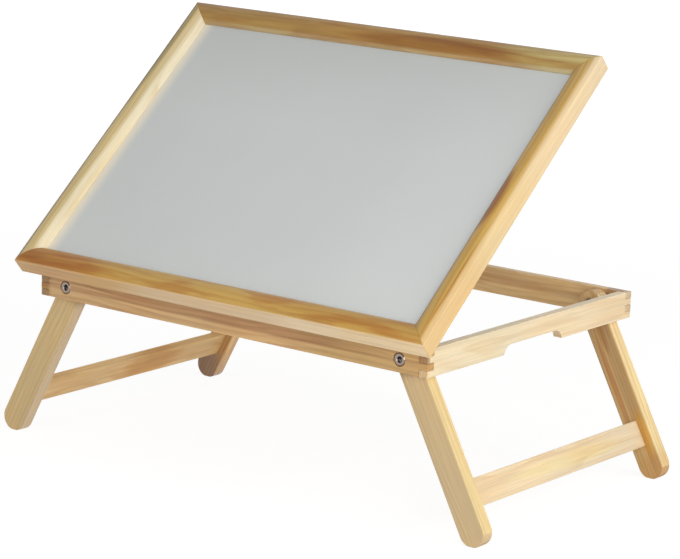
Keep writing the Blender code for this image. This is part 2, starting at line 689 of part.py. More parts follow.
def make_mouldings(carrier, upper_screw_cutter):
    """Make the four mitred mouldings round the panel."""
    section = moulding_section()
    nail_slots = bmesh.new()
    for _, spot in nail_places():
        append_solid(nail_slots, nail_strip(GLUE_GAP), spot)
    nail_cutter = make_cutter("mitre_nail_cutter", nail_slots, carrier)
    middle = (TRAY_FRONT + TRAY_BACK) / 2
    quarter = math.pi / 2
    sides = (
        ("front", TRAY_WIDTH / 2, (0.0, TRAY_FRONT), 0.0),
        ("rear", TRAY_WIDTH / 2, (0.0, TRAY_BACK), 2 * quarter),
        ("left", TRAY_DEPTH / 2, (-TRAY_WIDTH / 2, middle), -quarter),
        ("right", TRAY_DEPTH / 2, (TRAY_WIDTH / 2, middle), quarter),
    )
    for word, half_length, (x, y), turn in sides:
        bm = bmesh.new()
        place = Matrix.Translation((x, y, 0.0)) @ Matrix.Rotation(turn, 4, "Z")
        add_mitred_bar(bm, section, half_length, place)
        name = f"{word}_moulding"
        moulding = finish_object(name, bm, carrier, pine(name, MOULDING_WARMTH[word]))
        boolean(moulding, nail_cutter)
        if word == "front":
            boolean(moulding, upper_screw_cutter)
    bright = steel("steel_nails")
    for name, spot in nail_places():
        bm = bmesh.new()
        append_solid(bm, nail_strip(0.0), spot)
        finish_object(name, bm, carrier, bright)


def make_panel(carrier):
    """Make the panel's board and the pale laminate sheet on it, both held in the grooves."""
    inset = MOULDING_WIDTH - GROOVE_DEPTH + 2 * GLUE_GAP
    half_width = TRAY_WIDTH / 2 - inset
    front = TRAY_FRONT + inset
    back = TRAY_BACK - inset
    board = bmesh.new()
    add_box(board, (-half_width, front, BOARD_BOTTOM), (half_width, back, BOARD_TOP))
    fibre = make_material("panel_board", BOARD_COLOUR, BOARD_ROUGHNESS)
    finish_object("panel_board", board, carrier, fibre)
    sheet = bmesh.new()
    add_box(sheet, (-half_width, front, BOARD_TOP + GLUE_GAP), (half_width, back, PANEL_TOP))
    pale = make_material("panel_laminate", LAMINATE_COLOUR, LAMINATE_ROUGHNESS)
    finish_object("panel_laminate", sheet, carrier, pale)


# Hinges.

def hinge_centres():
    """Return each hinge's name and the X of its middle."""
    return (("left_hinge", -HINGE_SPACING / 2), ("right_hinge", HINGE_SPACING / 2))


def leaf_section(sense):
    """Return a leaf with its knuckle as (Y, Z) about the pin; sense is -1 for the lower leaf."""
    far = HINGE_LEAF_REACH
    near_z = sense * (KNUCKLE_RADIUS - HINGE_LEAF_THICKNESS)
    far_z = sense * KNUCKLE_RADIUS
    start = math.asin((KNUCKLE_RADIUS - HINGE_LEAF_THICKNESS) / KNUCKLE_RADIUS)
    knuckle = arc((0.0, 0.0), KNUCKLE_RADIUS, start, -1.5 * math.pi, ROUND_SIDES)
    return [(far, far_z), (far, near_z)] + [(y, sense * z) for y, z in knuckle]


def make_leaf(name, centre, carrier, sense, gaps, material):
    """Make one hinge leaf, its knuckle cut away over the given gaps of X from its middle."""
    near = KNUCKLE_RADIUS + RUNNING_GAP
    beyond = KNUCKLE_RADIUS + CUT_OVERRUN
    bm = bmesh.new()
    extrude_outline(bm, leaf_section(sense), HINGE_LENGTH, along_x(centre - HINGE_LENGTH / 2, 0.0, 0.0))
    leaf = finish_object(name, bm, carrier, material)
    cuts = bmesh.new()
    for start, end in gaps:
        add_box(cuts, (centre + start, -beyond, -beyond), (centre + end, near, beyond))
    boolean(leaf, make_cutter(f"{name}_knuckle_gaps", cuts, carrier))
    return leaf


def screw_outline(grow, head_radius, shank_radius, length):
    """Return a countersunk screw's outline, its head's flat top at zero and its point along +Z."""
    head_depth = head_radius - shank_radius
    return [
        (0.0, -grow),
        (head_radius + grow, -grow),
        (head_radius + grow, 0.0),
        (shank_radius + grow, head_depth),
        (shank_radius + grow, length - 2 * shank_radius),
        (0.0, length + grow),
    ]


def hinge_screw_places(sense):
    """Return each screw's name and placement on one side of the hinges; sense is -1 for the base."""
    face = sense * (KNUCKLE_RADIUS - HINGE_LEAF_THICKNESS)
    turn = Matrix.Rotation(math.pi, 4, "X") if sense < 0 else Matrix.Identity(4)
    level_word = "lower" if sense < 0 else "upper"
    places = []
    for hinge, centre in hinge_centres():
        for side_word, side in (("left", -1), ("right", 1)):
            x = centre + side * HINGE_SCREW_SPREAD / 2
            name = f"{hinge}_{level_word}_{side_word}_screw"
            places.append((name, Matrix.Translation((x, HINGE_SCREW_REACH, face)) @ turn))
    return places


def hinge_screw_outline(grow):
    """Return a hinge screw's outline, grown by a clearance."""
    return screw_outline(grow, HINGE_SCREW_HEAD_RADIUS, HINGE_SCREW_RADIUS, HINGE_SCREW_LENGTH)


def hinge_screw_cutter(name, sense, carrier):
    """Cutter for the screw holes of one side of the hinges."""
    bm = bmesh.new()
    for _, place in hinge_screw_places(sense):
        turn_outline(bm, hinge_screw_outline(GLUE_GAP), place, SMALL_SIDES)
    return make_cutter(name, bm, carrier)


def pin_bore_cutter(name, carrier):
    """Cutter for the knuckles' bores along the hinge axis."""
    bm = bmesh.new()
    half = HINGE_LENGTH / 2 + CUT_OVERRUN
    for _, centre in hinge_centres():
        add_rod(bm, HINGE_PIN_RADIUS + RUNNING_GAP, (centre - half, 0.0, 0.0), (centre + half, 0.0, 0.0))
    return make_cutter(name, bm, carrier)


def knuckle_gaps():
    """Return the spans of X that the lower leaf leaves to the upper one, and the other way round."""
    end = HINGE_LENGTH / 2 + CUT_OVERRUN
    third = HINGE_LENGTH / 6
    lower = ((-third - RUNNING_GAP / 2, third + RUNNING_GAP / 2),)
    upper = ((-end, -third + RUNNING_GAP / 2), (third - RUNNING_GAP / 2, end))
    return lower, upper


def make_hinges(fixed_carrier, tray, lower_screws, upper_screws):
    """Make both butt hinges: lower leaves and pins on the base, upper leaves on the tray."""
    lower_gaps, upper_gaps = knuckle_gaps()
    zinc = steel("zinc_hinges")
    sides = (
        ("lower", -1, fixed_carrier, lower_gaps, lower_screws),
        ("upper", 1, tray, upper_gaps, upper_screws),
    )
    for level_word, sense, carrier, gaps, screw_cutter in sides:
        bore_cutter = pin_bore_cutter(f"hinge_{level_word}_bore_cutter", carrier)
        for hinge, centre in hinge_centres():
            leaf = make_leaf(f"{hinge}_{level_word}_leaf", centre, carrier, sense, gaps, zinc)
            boolean(leaf, bore_cutter)
            boolean(leaf, screw_cutter)
        for name, place in hinge_screw_places(sense):
            screw = bmesh.new()
            turn_outline(screw, hinge_screw_outline(0.0), place, SMALL_SIDES)
            finish_object(name, screw, carrier, zinc)
    half = HINGE_LENGTH / 2
    for hinge, centre in hinge_centres():
        pin = bmesh.new()
        add_rod(pin, HINGE_PIN_RADIUS, (centre - half, 0.0, 0.0), (centre + half, 0.0, 0.0))
        finish_object(f"{hinge}_pin", pin, fixed_carrier, zinc)


# Prop and what carries it.

def arm_centres():
    """Return the X of the middle of each prop arm."""
    return (-PROP_ARM_SPREAD / 2, PROP_ARM_SPREAD / 2)


def lug_span(side):
    """Return the low and high X of the lug outside the arm on one side."""
    near = PROP_ARM_SPREAD / 2 + PROP_ARM_THICKNESS / 2 + RUNNING_GAP
    far = near + LUG_WIDTH
    return (near, far) if side > 0 else (-far, -near)


def spigot_cutter(tray):
    """Cutter for the batten's holes that take the lugs' spigots."""
    bm = bmesh.new()
    for side in (-1, 1):
        x = sum(lug_span(side)) / 2
        top = TRAY_UNDERSIDE + LUG_SPIGOT_LENGTH + GLUE_GAP
        low = (x, PROP_PIVOT_FROM_HINGE, TRAY_UNDERSIDE - CUT_OVERRUN)
        add_rod(bm, LUG_SPIGOT_RADIUS + GLUE_GAP, low, (x, PROP_PIVOT_FROM_HINGE, top), ROUND_SIDES)
    return make_cutter("lug_spigot_cutter", bm, tray)


def make_lug(word, side, tray, bore_cutter):
    """Make one lug: a block with the pin's bore, and a round spigot glued into the batten."""
    middle = PROP_PIVOT_FROM_HINGE
    start, end = lug_span(side)
    low = (middle - LUG_LENGTH / 2, TRAY_UNDERSIDE - LUG_DROP)
    high = (middle + LUG_LENGTH / 2, TRAY_UNDERSIDE)
    bm = bmesh.new()
    extrude_outline(bm, rounded_rectangle(low, high, RAIL_ARRIS), end - start, along_x(start, 0.0, 0.0))
    name = f"prop_{word}_lug"
    lug = finish_object(name, bm, tray, pine(name, LUG_WARMTH))
    spigot = bmesh.new()
    x = (start + end) / 2
    spigot_low = (x, middle, TRAY_UNDERSIDE - LUG_SPIGOT_ROOT)
    spigot_high = (x, middle, TRAY_UNDERSIDE + LUG_SPIGOT_LENGTH)
    add_rod(spigot, LUG_SPIGOT_RADIUS, spigot_low, spigot_high, ROUND_SIDES)
    boolean(lug, make_cutter(f"{name}_spigot", spigot, tray), "UNION")
    boolean(lug, bore_cutter)


def make_batten_and_lugs(tray):
    """Make the batten under the panel, the two lugs in it and the prop's pin through the lugs."""
    middle = PROP_PIVOT_FROM_HINGE
    half = TRAY_WIDTH / 2 - MOULDING_WIDTH - GLUE_GAP
    low = (middle - BATTEN_WIDTH / 2, BATTEN_BOTTOM)
    high = (middle + BATTEN_WIDTH / 2, BATTEN_TOP)
    bm = bmesh.new()
    extrude_outline(bm, rounded_rectangle(low, high, RAIL_ARRIS), 2 * half, along_x(-half, 0.0, 0.0))
    batten = finish_object("prop_batten", bm, tray, pine("prop_batten", BATTEN_WARMTH))
    boolean(batten, spigot_cutter(tray))

    reach = lug_span(1)[1]
    start = Vector((-reach, middle, PROP_PIVOT_LEVEL))
    end = Vector((reach, middle, PROP_PIVOT_LEVEL))
    overrun = Vector((CUT_OVERRUN, 0.0, 0.0))
    bore = bmesh.new()
    add_rod(bore, PROP_PIN_RADIUS + GLUE_GAP, start - overrun, end + overrun, ROUND_SIDES)
    bore_cutter = make_cutter("lug_bore_cutter", bore, tray)
    make_lug("left", -1, tray, bore_cutter)
    make_lug("right", 1, tray, bore_cutter)
    pin = bmesh.new()
    add_rod(pin, PROP_PIN_RADIUS, start, end, ROUND_SIDES)
    finish_object("prop_pin", pin, tray, steel("prop_pin"))


def make_prop(tray):
    """Make the prop's two arms and its foot dowel, in the prop's own frame with the arms along -Z."""
    lean = math.pi / 2 - PROP_LEAN
    place = Matrix.Translation((0.0, PROP_PIVOT_FROM_HINGE, PROP_PIVOT_LEVEL))
    carrier = add_empty("prop_pivot", tray, place @ Matrix.Rotation(-TRAY_TILT - lean, 4, "X"))
    bores = bmesh.new()
    reach = PROP_ARM_SPREAD / 2 + PROP_ARM_THICKNESS
    add_rod(bores, PROP_PIN_RADIUS + RUNNING_GAP, (-reach, 0.0, 0.0), (reach, 0.0, 0.0), ROUND_SIDES)
    dowel_bore = FOOT_DOWEL_RADIUS + GLUE_GAP
    add_rod(bores, dowel_bore, (-reach, 0.0, -PROP_LENGTH), (reach, 0.0, -PROP_LENGTH), ROUND_SIDES)
    bore_cutter = make_cutter("prop_arm_bore_cutter", bores, carrier)
    for name, centre in zip(("prop_left_arm", "prop_right_arm"), arm_centres()):
        bm = bmesh.new()
        outline = bar_outline(PROP_LENGTH, PROP_ARM_WIDTH / 2)
        extrude_outline(bm, outline, PROP_ARM_THICKNESS, along_x(centre - PROP_ARM_THICKNESS / 2, 0.0, 0.0))
        arm = finish_object(name, bm, carrier, pine(name, PROP_WARMTH))
        boolean(arm, bore_cutter)
    dowel = bmesh.new()
    half = PROP_ARM_SPREAD / 2 + PROP_ARM_THICKNESS / 2
    add_rod(dowel, FOOT_DOWEL_RADIUS, (-half, 0.0, -PROP_LENGTH), (half, 0.0, -PROP_LENGTH), ROUND_SIDES)
    finish_object("prop_foot_dowel", dowel, carrier, pine("prop_foot_dowel", DOWEL_WARMTH))


def notch_outline(centre_y, top_z):
    """Return a U-shaped slot open at the top, round the foot dowel's place at centre_y."""
    radius = FOOT_DOWEL_RADIUS + RUNNING_GAP
    high = top_z + CUT_OVERRUN
    bottom = arc((centre_y, FOOT_DOWEL_Z), radius, math.pi, 2 * math.pi, ARC_STEPS)
    return [(centre_y - radius, high), *bottom, (centre_y + radius, high)]


def make_notch_block(root, dowel_cutter):
    """Make the notched block on the front rail; its rearmost seat is open to the rear."""
    radius = FOOT_DOWEL_RADIUS + RUNNING_GAP
    top = FOOT_DOWEL_Z + BLOCK_TOP_ABOVE_DOWEL
    bottom = RAIL_BOTTOM + BLOCK_BOTTOM_CLEARANCE
    front = -INNER_Y + GLUE_GAP
    seat = arc((FOOT_DOWEL_Y, FOOT_DOWEL_Z), radius, -math.pi, SEAT_END_ANGLE, ARC_STEPS)
    outline = [(front, bottom), (front, top), (FOOT_DOWEL_Y - radius, top), *seat, (seat[-1][0], bottom)]
    bm = bmesh.new()
    extrude_outline(bm, outline, BLOCK_WIDTH, along_x(-BLOCK_WIDTH / 2, 0.0, 0.0))
    block = finish_object("prop_notch_block", bm, root, pine("prop_notch_block", PROP_WARMTH))
    slots = bmesh.new()
    for index in range(1, NOTCH_COUNT):
        slot = notch_outline(FOOT_DOWEL_Y - index * NOTCH_PITCH, top)
        depth = BLOCK_WIDTH + 2 * CUT_OVERRUN
        extrude_outline(slots, slot, depth, along_x(-depth / 2, 0.0, 0.0))
    boolean(block, make_cutter("notch_cutter", slots, root))
    boolean(block, dowel_cutter)


def block_dowel_ends(grow):
    """Return each dowel's name and its two end points, between the front rail and the block."""
    z = (RAIL_BOTTOM + BLOCK_BOTTOM_CLEARANCE + FOOT_DOWEL_Z) / 2
    start = -INNER_Y - BLOCK_DOWEL_IN_RAIL - grow
    end = -INNER_Y + BLOCK_DOWEL_IN_BLOCK + grow
    x = BLOCK_DOWEL_SPREAD / 2
    return (
        ("notch_block_left_dowel", (-x, start, z), (-x, end, z)),
        ("notch_block_right_dowel", (x, start, z), (x, end, z)),
    )


def block_dowel_cutter(root):
    """Cutter for the dowel holes in the front rail and in the notched block."""
    bm = bmesh.new()
    for _, start, end in block_dowel_ends(GLUE_GAP):
        add_rod(bm, BLOCK_DOWEL_RADIUS + GLUE_GAP, start, end)
    return make_cutter("block_dowel_cutter", bm, root)


def make_block_dowels(root):
    """Make the two dowels that hold the notched block on the front rail."""
    beech = pine("block_dowels", DOWEL_WARMTH)
    for name, start, end in block_dowel_ends(0.0):
        bm = bmesh.new()
        add_rod(bm, BLOCK_DOWEL_RADIUS, start, end)
        finish_object(name, bm, root, beech)


def make_bumpers(tray):
    """Make the rubber bumpers under the rear moulding, over the rear rail when the top is closed."""
    y = TRAY_BACK - TRAY_REAR_OVERHANG - RAIL_THICKNESS / 2
    top = TRAY_UNDERSIDE - GLUE_GAP
    rubber = make_material("rubber_bumpers", RUBBER_COLOUR, RUBBER_ROUGHNESS)
    for word, side in (("left", -1), ("right", 1)):
        x = side * (BASE_WIDTH / 2 - BUMPER_INSET)
        bm = bmesh.new()
        add_rod(bm, BUMPER_RADIUS, (x, y, top - BUMPER_HEIGHT), (x, y, top), ROUND_SIDES)
        finish_object(f"{word}_bumper", bm, tray, rubber)


# Assembly.

def tray_front_reach():
    """Return how far the tilted front moulding reaches in front of the hinge axis."""
    reaches = []
    for inset, height in moulding_section():
        along = TRAY_FRONT + inset
        reaches.append(height * math.sin(TRAY_TILT) - along * math.cos(TRAY_TILT))
    return max(reaches)


def build():
    """Build the bed tray, in its propped-up pose."""
    for leftover in list(bpy.data.objects):
        bpy.data.objects.remove(leftover, do_unlink=True)
    front_edge = HINGE_Y - tray_front_reach()
    back_edge = BASE_DEPTH / 2
    root = add_empty("bed_tray", None, Matrix.Translation((0.0, -(front_edge + back_edge) / 2, 0.0)))

    hinge_axis = Matrix.Translation((0.0, HINGE_Y, HINGE_Z))
    fixed_carrier = add_empty("hinge_base", root, hinge_axis)
    tray = add_empty("tray_hinge", root, hinge_axis @ Matrix.Rotation(TRAY_TILT, 4, "X"))

    lower_screws = hinge_screw_cutter("hinge_lower_screw_cutter", -1, fixed_carrier)
    upper_screws = hinge_screw_cutter("hinge_upper_screw_cutter", 1, tray)
    dowel_holes = block_dowel_cutter(root)

    make_rails(root, pivot_bore_cutter(root), lower_screws, dowel_holes)
    make_pivot_hardware(root)
    make_leg_pair(root, "left", -1)
    make_leg_pair(root, "right", 1)
    make_notch_block(root, dowel_holes)
    make_block_dowels(root)
    make_hinges(fixed_carrier, tray, lower_screws, upper_screws)
    make_mouldings(tray, upper_screws)
    make_panel(tray)
    make_batten_and_lugs(tray)
    make_prop(tray)
    make_bumpers(tray)


build()
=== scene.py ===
"""The looks of a pine bed tray: lacquered timber, a pale laminate panel and small steel fittings.

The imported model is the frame. It gives every piece its place and its size, and this script makes
the fine surfaces on it: mouldings, legs and stretchers as swept profiles, timbers with eased
edges, turned fittings, and a material with its own grain, tone and gloss for each piece.
"""

import json
import logging
import math
from dataclasses import asdict, dataclass
from enum import Enum
from typing import ClassVar

import bmesh
import bpy
import numpy as np
from mathutils import Matrix, Vector


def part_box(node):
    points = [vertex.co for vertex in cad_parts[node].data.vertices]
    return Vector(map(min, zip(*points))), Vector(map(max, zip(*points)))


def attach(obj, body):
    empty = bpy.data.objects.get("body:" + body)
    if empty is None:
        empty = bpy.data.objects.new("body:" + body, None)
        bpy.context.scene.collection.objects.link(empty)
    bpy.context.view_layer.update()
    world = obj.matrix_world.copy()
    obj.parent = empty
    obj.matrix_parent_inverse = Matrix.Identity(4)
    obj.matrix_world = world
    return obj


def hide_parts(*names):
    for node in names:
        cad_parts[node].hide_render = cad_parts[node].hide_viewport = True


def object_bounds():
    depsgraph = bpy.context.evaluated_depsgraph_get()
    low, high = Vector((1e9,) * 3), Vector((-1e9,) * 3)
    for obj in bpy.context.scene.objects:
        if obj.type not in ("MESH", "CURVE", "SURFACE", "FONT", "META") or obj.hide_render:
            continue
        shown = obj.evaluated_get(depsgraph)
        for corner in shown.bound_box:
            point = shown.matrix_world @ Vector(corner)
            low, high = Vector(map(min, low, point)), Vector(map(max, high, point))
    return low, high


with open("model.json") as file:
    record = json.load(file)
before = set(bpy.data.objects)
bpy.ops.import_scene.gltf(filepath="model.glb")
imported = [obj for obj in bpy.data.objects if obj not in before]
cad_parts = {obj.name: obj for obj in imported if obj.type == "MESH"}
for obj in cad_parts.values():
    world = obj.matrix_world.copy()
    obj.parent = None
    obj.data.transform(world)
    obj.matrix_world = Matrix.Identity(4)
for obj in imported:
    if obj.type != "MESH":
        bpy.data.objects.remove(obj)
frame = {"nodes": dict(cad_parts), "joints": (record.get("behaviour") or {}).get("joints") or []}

CAD_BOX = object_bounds()
LOG = logging.getLogger("bed_tray")

Colour = tuple[float, float, float]
Piece = bpy.types.Object
Socket = bpy.types.NodeSocket
Sockets = bpy.types.bpy_prop_collection

RIGHT_ANGLE = math.pi / 2
SIDES = ("left", "right")
ENDS = ("front", "rear")

MERGE_DISTANCE = 1e-6
SHORTEST_EDGE = 1e-12
LEAST_SQUARE = 0.5
FLAT_WITHIN = math.radians(0.6)
EASED_FROM = math.radians(50.0)
SHARP_FROM = math.radians(40.0)
FINE_SHARP_FROM = math.radians(30.0)
EASE_CHORDS = 2
RIM_CHORDS = 4
ROD_SIDES = 48


# Frame readings.

def joint(name: str) -> dict:
    """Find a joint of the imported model, with its position, axis and range."""
    return next(entry for entry in frame["joints"] if entry["name"] == name)


def node_points(node: str) -> np.ndarray:
    """Read a CAD node's corners.

    Args:
        node: The CAD node's name.

    Returns:
        An array of points, one row each, in the model's frame.
    """
    mesh = frame["nodes"][node].data
    flat = np.empty(len(mesh.vertices) * 3)
    mesh.vertices.foreach_get("co", flat)
    return flat.reshape(-1, 3)


def extent(node: str, place: Matrix) -> tuple[np.ndarray, np.ndarray]:
    """Measure a CAD node's lowest and highest corner along the axes of a placement."""
    local = moved(node_points(node), place.inverted())
    return local.min(axis=0), local.max(axis=0)


# Arrays of points.

def moved(points: np.ndarray, place: Matrix) -> np.ndarray:
    """Carry points by a placement: each is turned by its matrix and shifted by its origin."""
    matrix = np.array(place)
    return points @ matrix[:3, :3].T + matrix[:3, 3]


def bearings(around: int) -> np.ndarray:
    """Even steps round a whole turn, from zero."""
    return np.linspace(0.0, 2 * math.pi, around, endpoint=False)


def turned(profile: list[tuple], around: int) -> np.ndarray:
    """Turn a profile about the Z axis: each of its points becomes a ring at its own height.

    Args:
        profile: Pairs of radius and height. A radius may be an array, with one for each bearing.
        around: How many points go round.

    Returns:
        The rings, as rings by points by three.
    """
    turn = bearings(around)
    across, aside = np.cos(turn), np.sin(turn)
    rings = [(radius * across, radius * aside, height + 0.0 * turn) for radius, height in profile]
    return np.array([np.column_stack(ring) for ring in rings])


def upright(outline: np.ndarray, level: float) -> np.ndarray:
    """Stand an outline up: its points go to X and Z, and the level is their Y."""
    return np.column_stack((outline[:, 0], np.full(len(outline), level), outline[:, 1]))


def arc(
    centre: tuple[float, float], radius: float, start: float, end: float, steps: int
) -> np.ndarray:
    """Points on an arc: its centre plus its radius times the cosine and sine of even angles."""
    angle = np.linspace(start, end, steps + 1)
    return np.column_stack((centre[0] + radius * np.cos(angle), centre[1] + radius * np.sin(angle)))


def inset_outline(outline: np.ndarray, amount: float) -> np.ndarray:
    """Shrink a closed outline. Each point moves along the mean of its edges' inner normals.

    Args:
        outline: Points of a closed outline, counter-clockwise.
        amount: How far the edges move in.

    Returns:
        The shrunken outline, point for point.
    """
    before = outline - np.roll(outline, 1, axis=0)
    after = np.roll(outline, -1, axis=0) - outline
    normals = []
    for run in (before, after):
        length = np.maximum(np.linalg.norm(run, axis=1, keepdims=True), SHORTEST_EDGE)
        normals.append(np.column_stack((-run[:, 1], run[:, 0])) / length)
    middle = normals[0] + normals[1]
    square = np.maximum(np.sum(middle * middle, axis=1, keepdims=True), LEAST_SQUARE)
    return outline + amount * 2.0 * middle / square


def ease_steps(radius: float, steps: int) -> list[tuple[float, float]]:
    """The quarter circle of an eased rim, as pairs of inset and distance back from the end."""
    angle = np.linspace(0.0, RIGHT_ANGLE, steps + 1)
    return list(zip(radius * (1.0 - np.sin(angle)), radius * (1.0 - np.cos(angle))))


# Meshes.

def mesh_object(name: str, points: np.ndarray, faces: list) -> Piece:
    """Make a mesh object with smooth faces that point outwards.

    Args:
        name: The object's name.
        points: One row for each vertex, in the model's frame.
        faces: The faces, as sequences of vertex numbers.

    Returns:
        The new object, linked to the scene.
    """
    mesh = bpy.data.meshes.new(name)
    mesh.from_pydata(points, [], faces)
    work = bmesh.new()
    work.from_mesh(mesh)
    bmesh.ops.recalc_face_normals(work, faces=work.faces)
    work.to_mesh(mesh)
    work.free()
    mesh.shade_smooth()
    piece = bpy.data.objects.new(name, mesh)
    bpy.context.scene.collection.objects.link(piece)
    return piece


def weigh_normals(piece: Piece) -> None:
    """Keep flat faces flat in the shading, with their larger neighbours' normals."""
    modifier = piece.modifiers.new("flat_faces", "WEIGHTED_NORMAL")
    modifier.keep_sharp = True


def ring_mesh(
    name: str, rings: np.ndarray, joined: bool = False, sharp_from: float = SHARP_FROM
) -> Piece:
    """Skin a stack of closed rings, with four-sided faces between each ring and the next one.

    Args:
        name: The object's name.
        rings: An array of rings by points by three.
        joined: Whether the last ring joins the first one. If not, both ends are capped.
        sharp_from: The angle from which an edge is sharp in the shading.

    Returns:
        The new object.
    """
    count, around = rings.shape[:2]
    last = count if joined else count - 1
    row, column = np.meshgrid(np.arange(last), np.arange(around), indexing="ij")
    here, above = row * around, (row + 1) % count * around
    following = (column + 1) % around
    corners = (here + column, here + following, above + following, above + column)
    faces = np.stack(corners, axis=-1).reshape(-1, 4).tolist()
    if not joined:
        faces += [list(range(around)), list(range((count - 1) * around, count * around))]
    piece = mesh_object(name, rings.reshape(-1, 3), faces)
    piece.data.set_sharp_from_angle(angle=sharp_from)
    weigh_normals(piece)
    return piece


def refined_copy(node: str, ease: float) -> Piece:
    """Copy a CAD node, merge its loose triangles into flat faces and ease its sharp edges.

    Args:
        node: The CAD node's name.
        ease: The width of the eased edge.

    Returns:
        The new object, which still needs a body and a material.
    """
    mesh = frame["nodes"][node].data
    corners = np.empty(len(mesh.loops), dtype=np.int64)
    mesh.loops.foreach_get("vertex_index", corners)
    grid = np.round(node_points(node) / MERGE_DISTANCE)
    points, index = np.unique(grid, axis=0, return_inverse=True)
    triangles = index.reshape(-1)[corners].reshape(-1, 3)
    whole = np.all(triangles != np.roll(triangles, 1, axis=1), axis=1)
    piece = mesh_object(f"{node}_eased", points * MERGE_DISTANCE, triangles[whole].tolist())
    work = bmesh.new()
    work.from_mesh(piece.data)
    bmesh.ops.dissolve_limit(work, angle_limit=FLAT_WITHIN, verts=work.verts, edges=work.edges)
    work.to_mesh(piece.data)
    work.free()
    piece.data.shade_smooth()
    bevel = piece.modifiers.new("eased_edges", "BEVEL")
    bevel.width = ease
    bevel.segments = EASE_CHORDS
    bevel.limit_method = "ANGLE"
    bevel.angle_limit = EASED_FROM
    bevel.miter_outer = "MITER_ARC"
    weigh_normals(piece)
    return piece


def eased_rod(name: str, radius: float, start: Vector, end: Vector, ease: float) -> Piece:
    """Make a round rod with eased rims.

    Args:
        name: The object's name.
        radius: The rod's radius.
        start: The middle of its first end.
        end: The middle of its other end.
        ease: The radius of the rims.

    Returns:
        The new object.
    """
    run = end - start
    steps = ease_steps(ease, RIM_CHORDS)
    near = [(radius - inset, back) for inset, back in steps]
    far = [(radius - inset, run.length - back) for inset, back in steps[::-1]]
    turn = run.to_track_quat("Z", "Y").to_matrix().to_4x4()
    rings = turned(near + far, ROD_SIDES)
    return ring_mesh(name, moved(rings, Matrix.Translation(start) @ turn))


# Colours and node building.

def srgb(red: int, green: int, blue: int) -> Colour:
    """Turn a screen colour into the linear values that shaders take.

    Args:
        red: Red, 0 to 255.
        green: Green, 0 to 255.
        blue: Blue, 0 to 255.

    Returns:
        The colour in linear light.
    """
    share = np.array((red, green, blue)) / 255.0
    linear = np.where(share <= 0.04045, share / 12.92, ((share + 0.055) / 1.055) ** 2.4)
    return tuple(linear.tolist())


def tint(red: float, green: float, blue: float) -> Colour:
    """Turn ratios between screen values, in percent, into factors of linear light."""
    return tuple((value / 100.0) ** 2.2 for value in (red, green, blue))


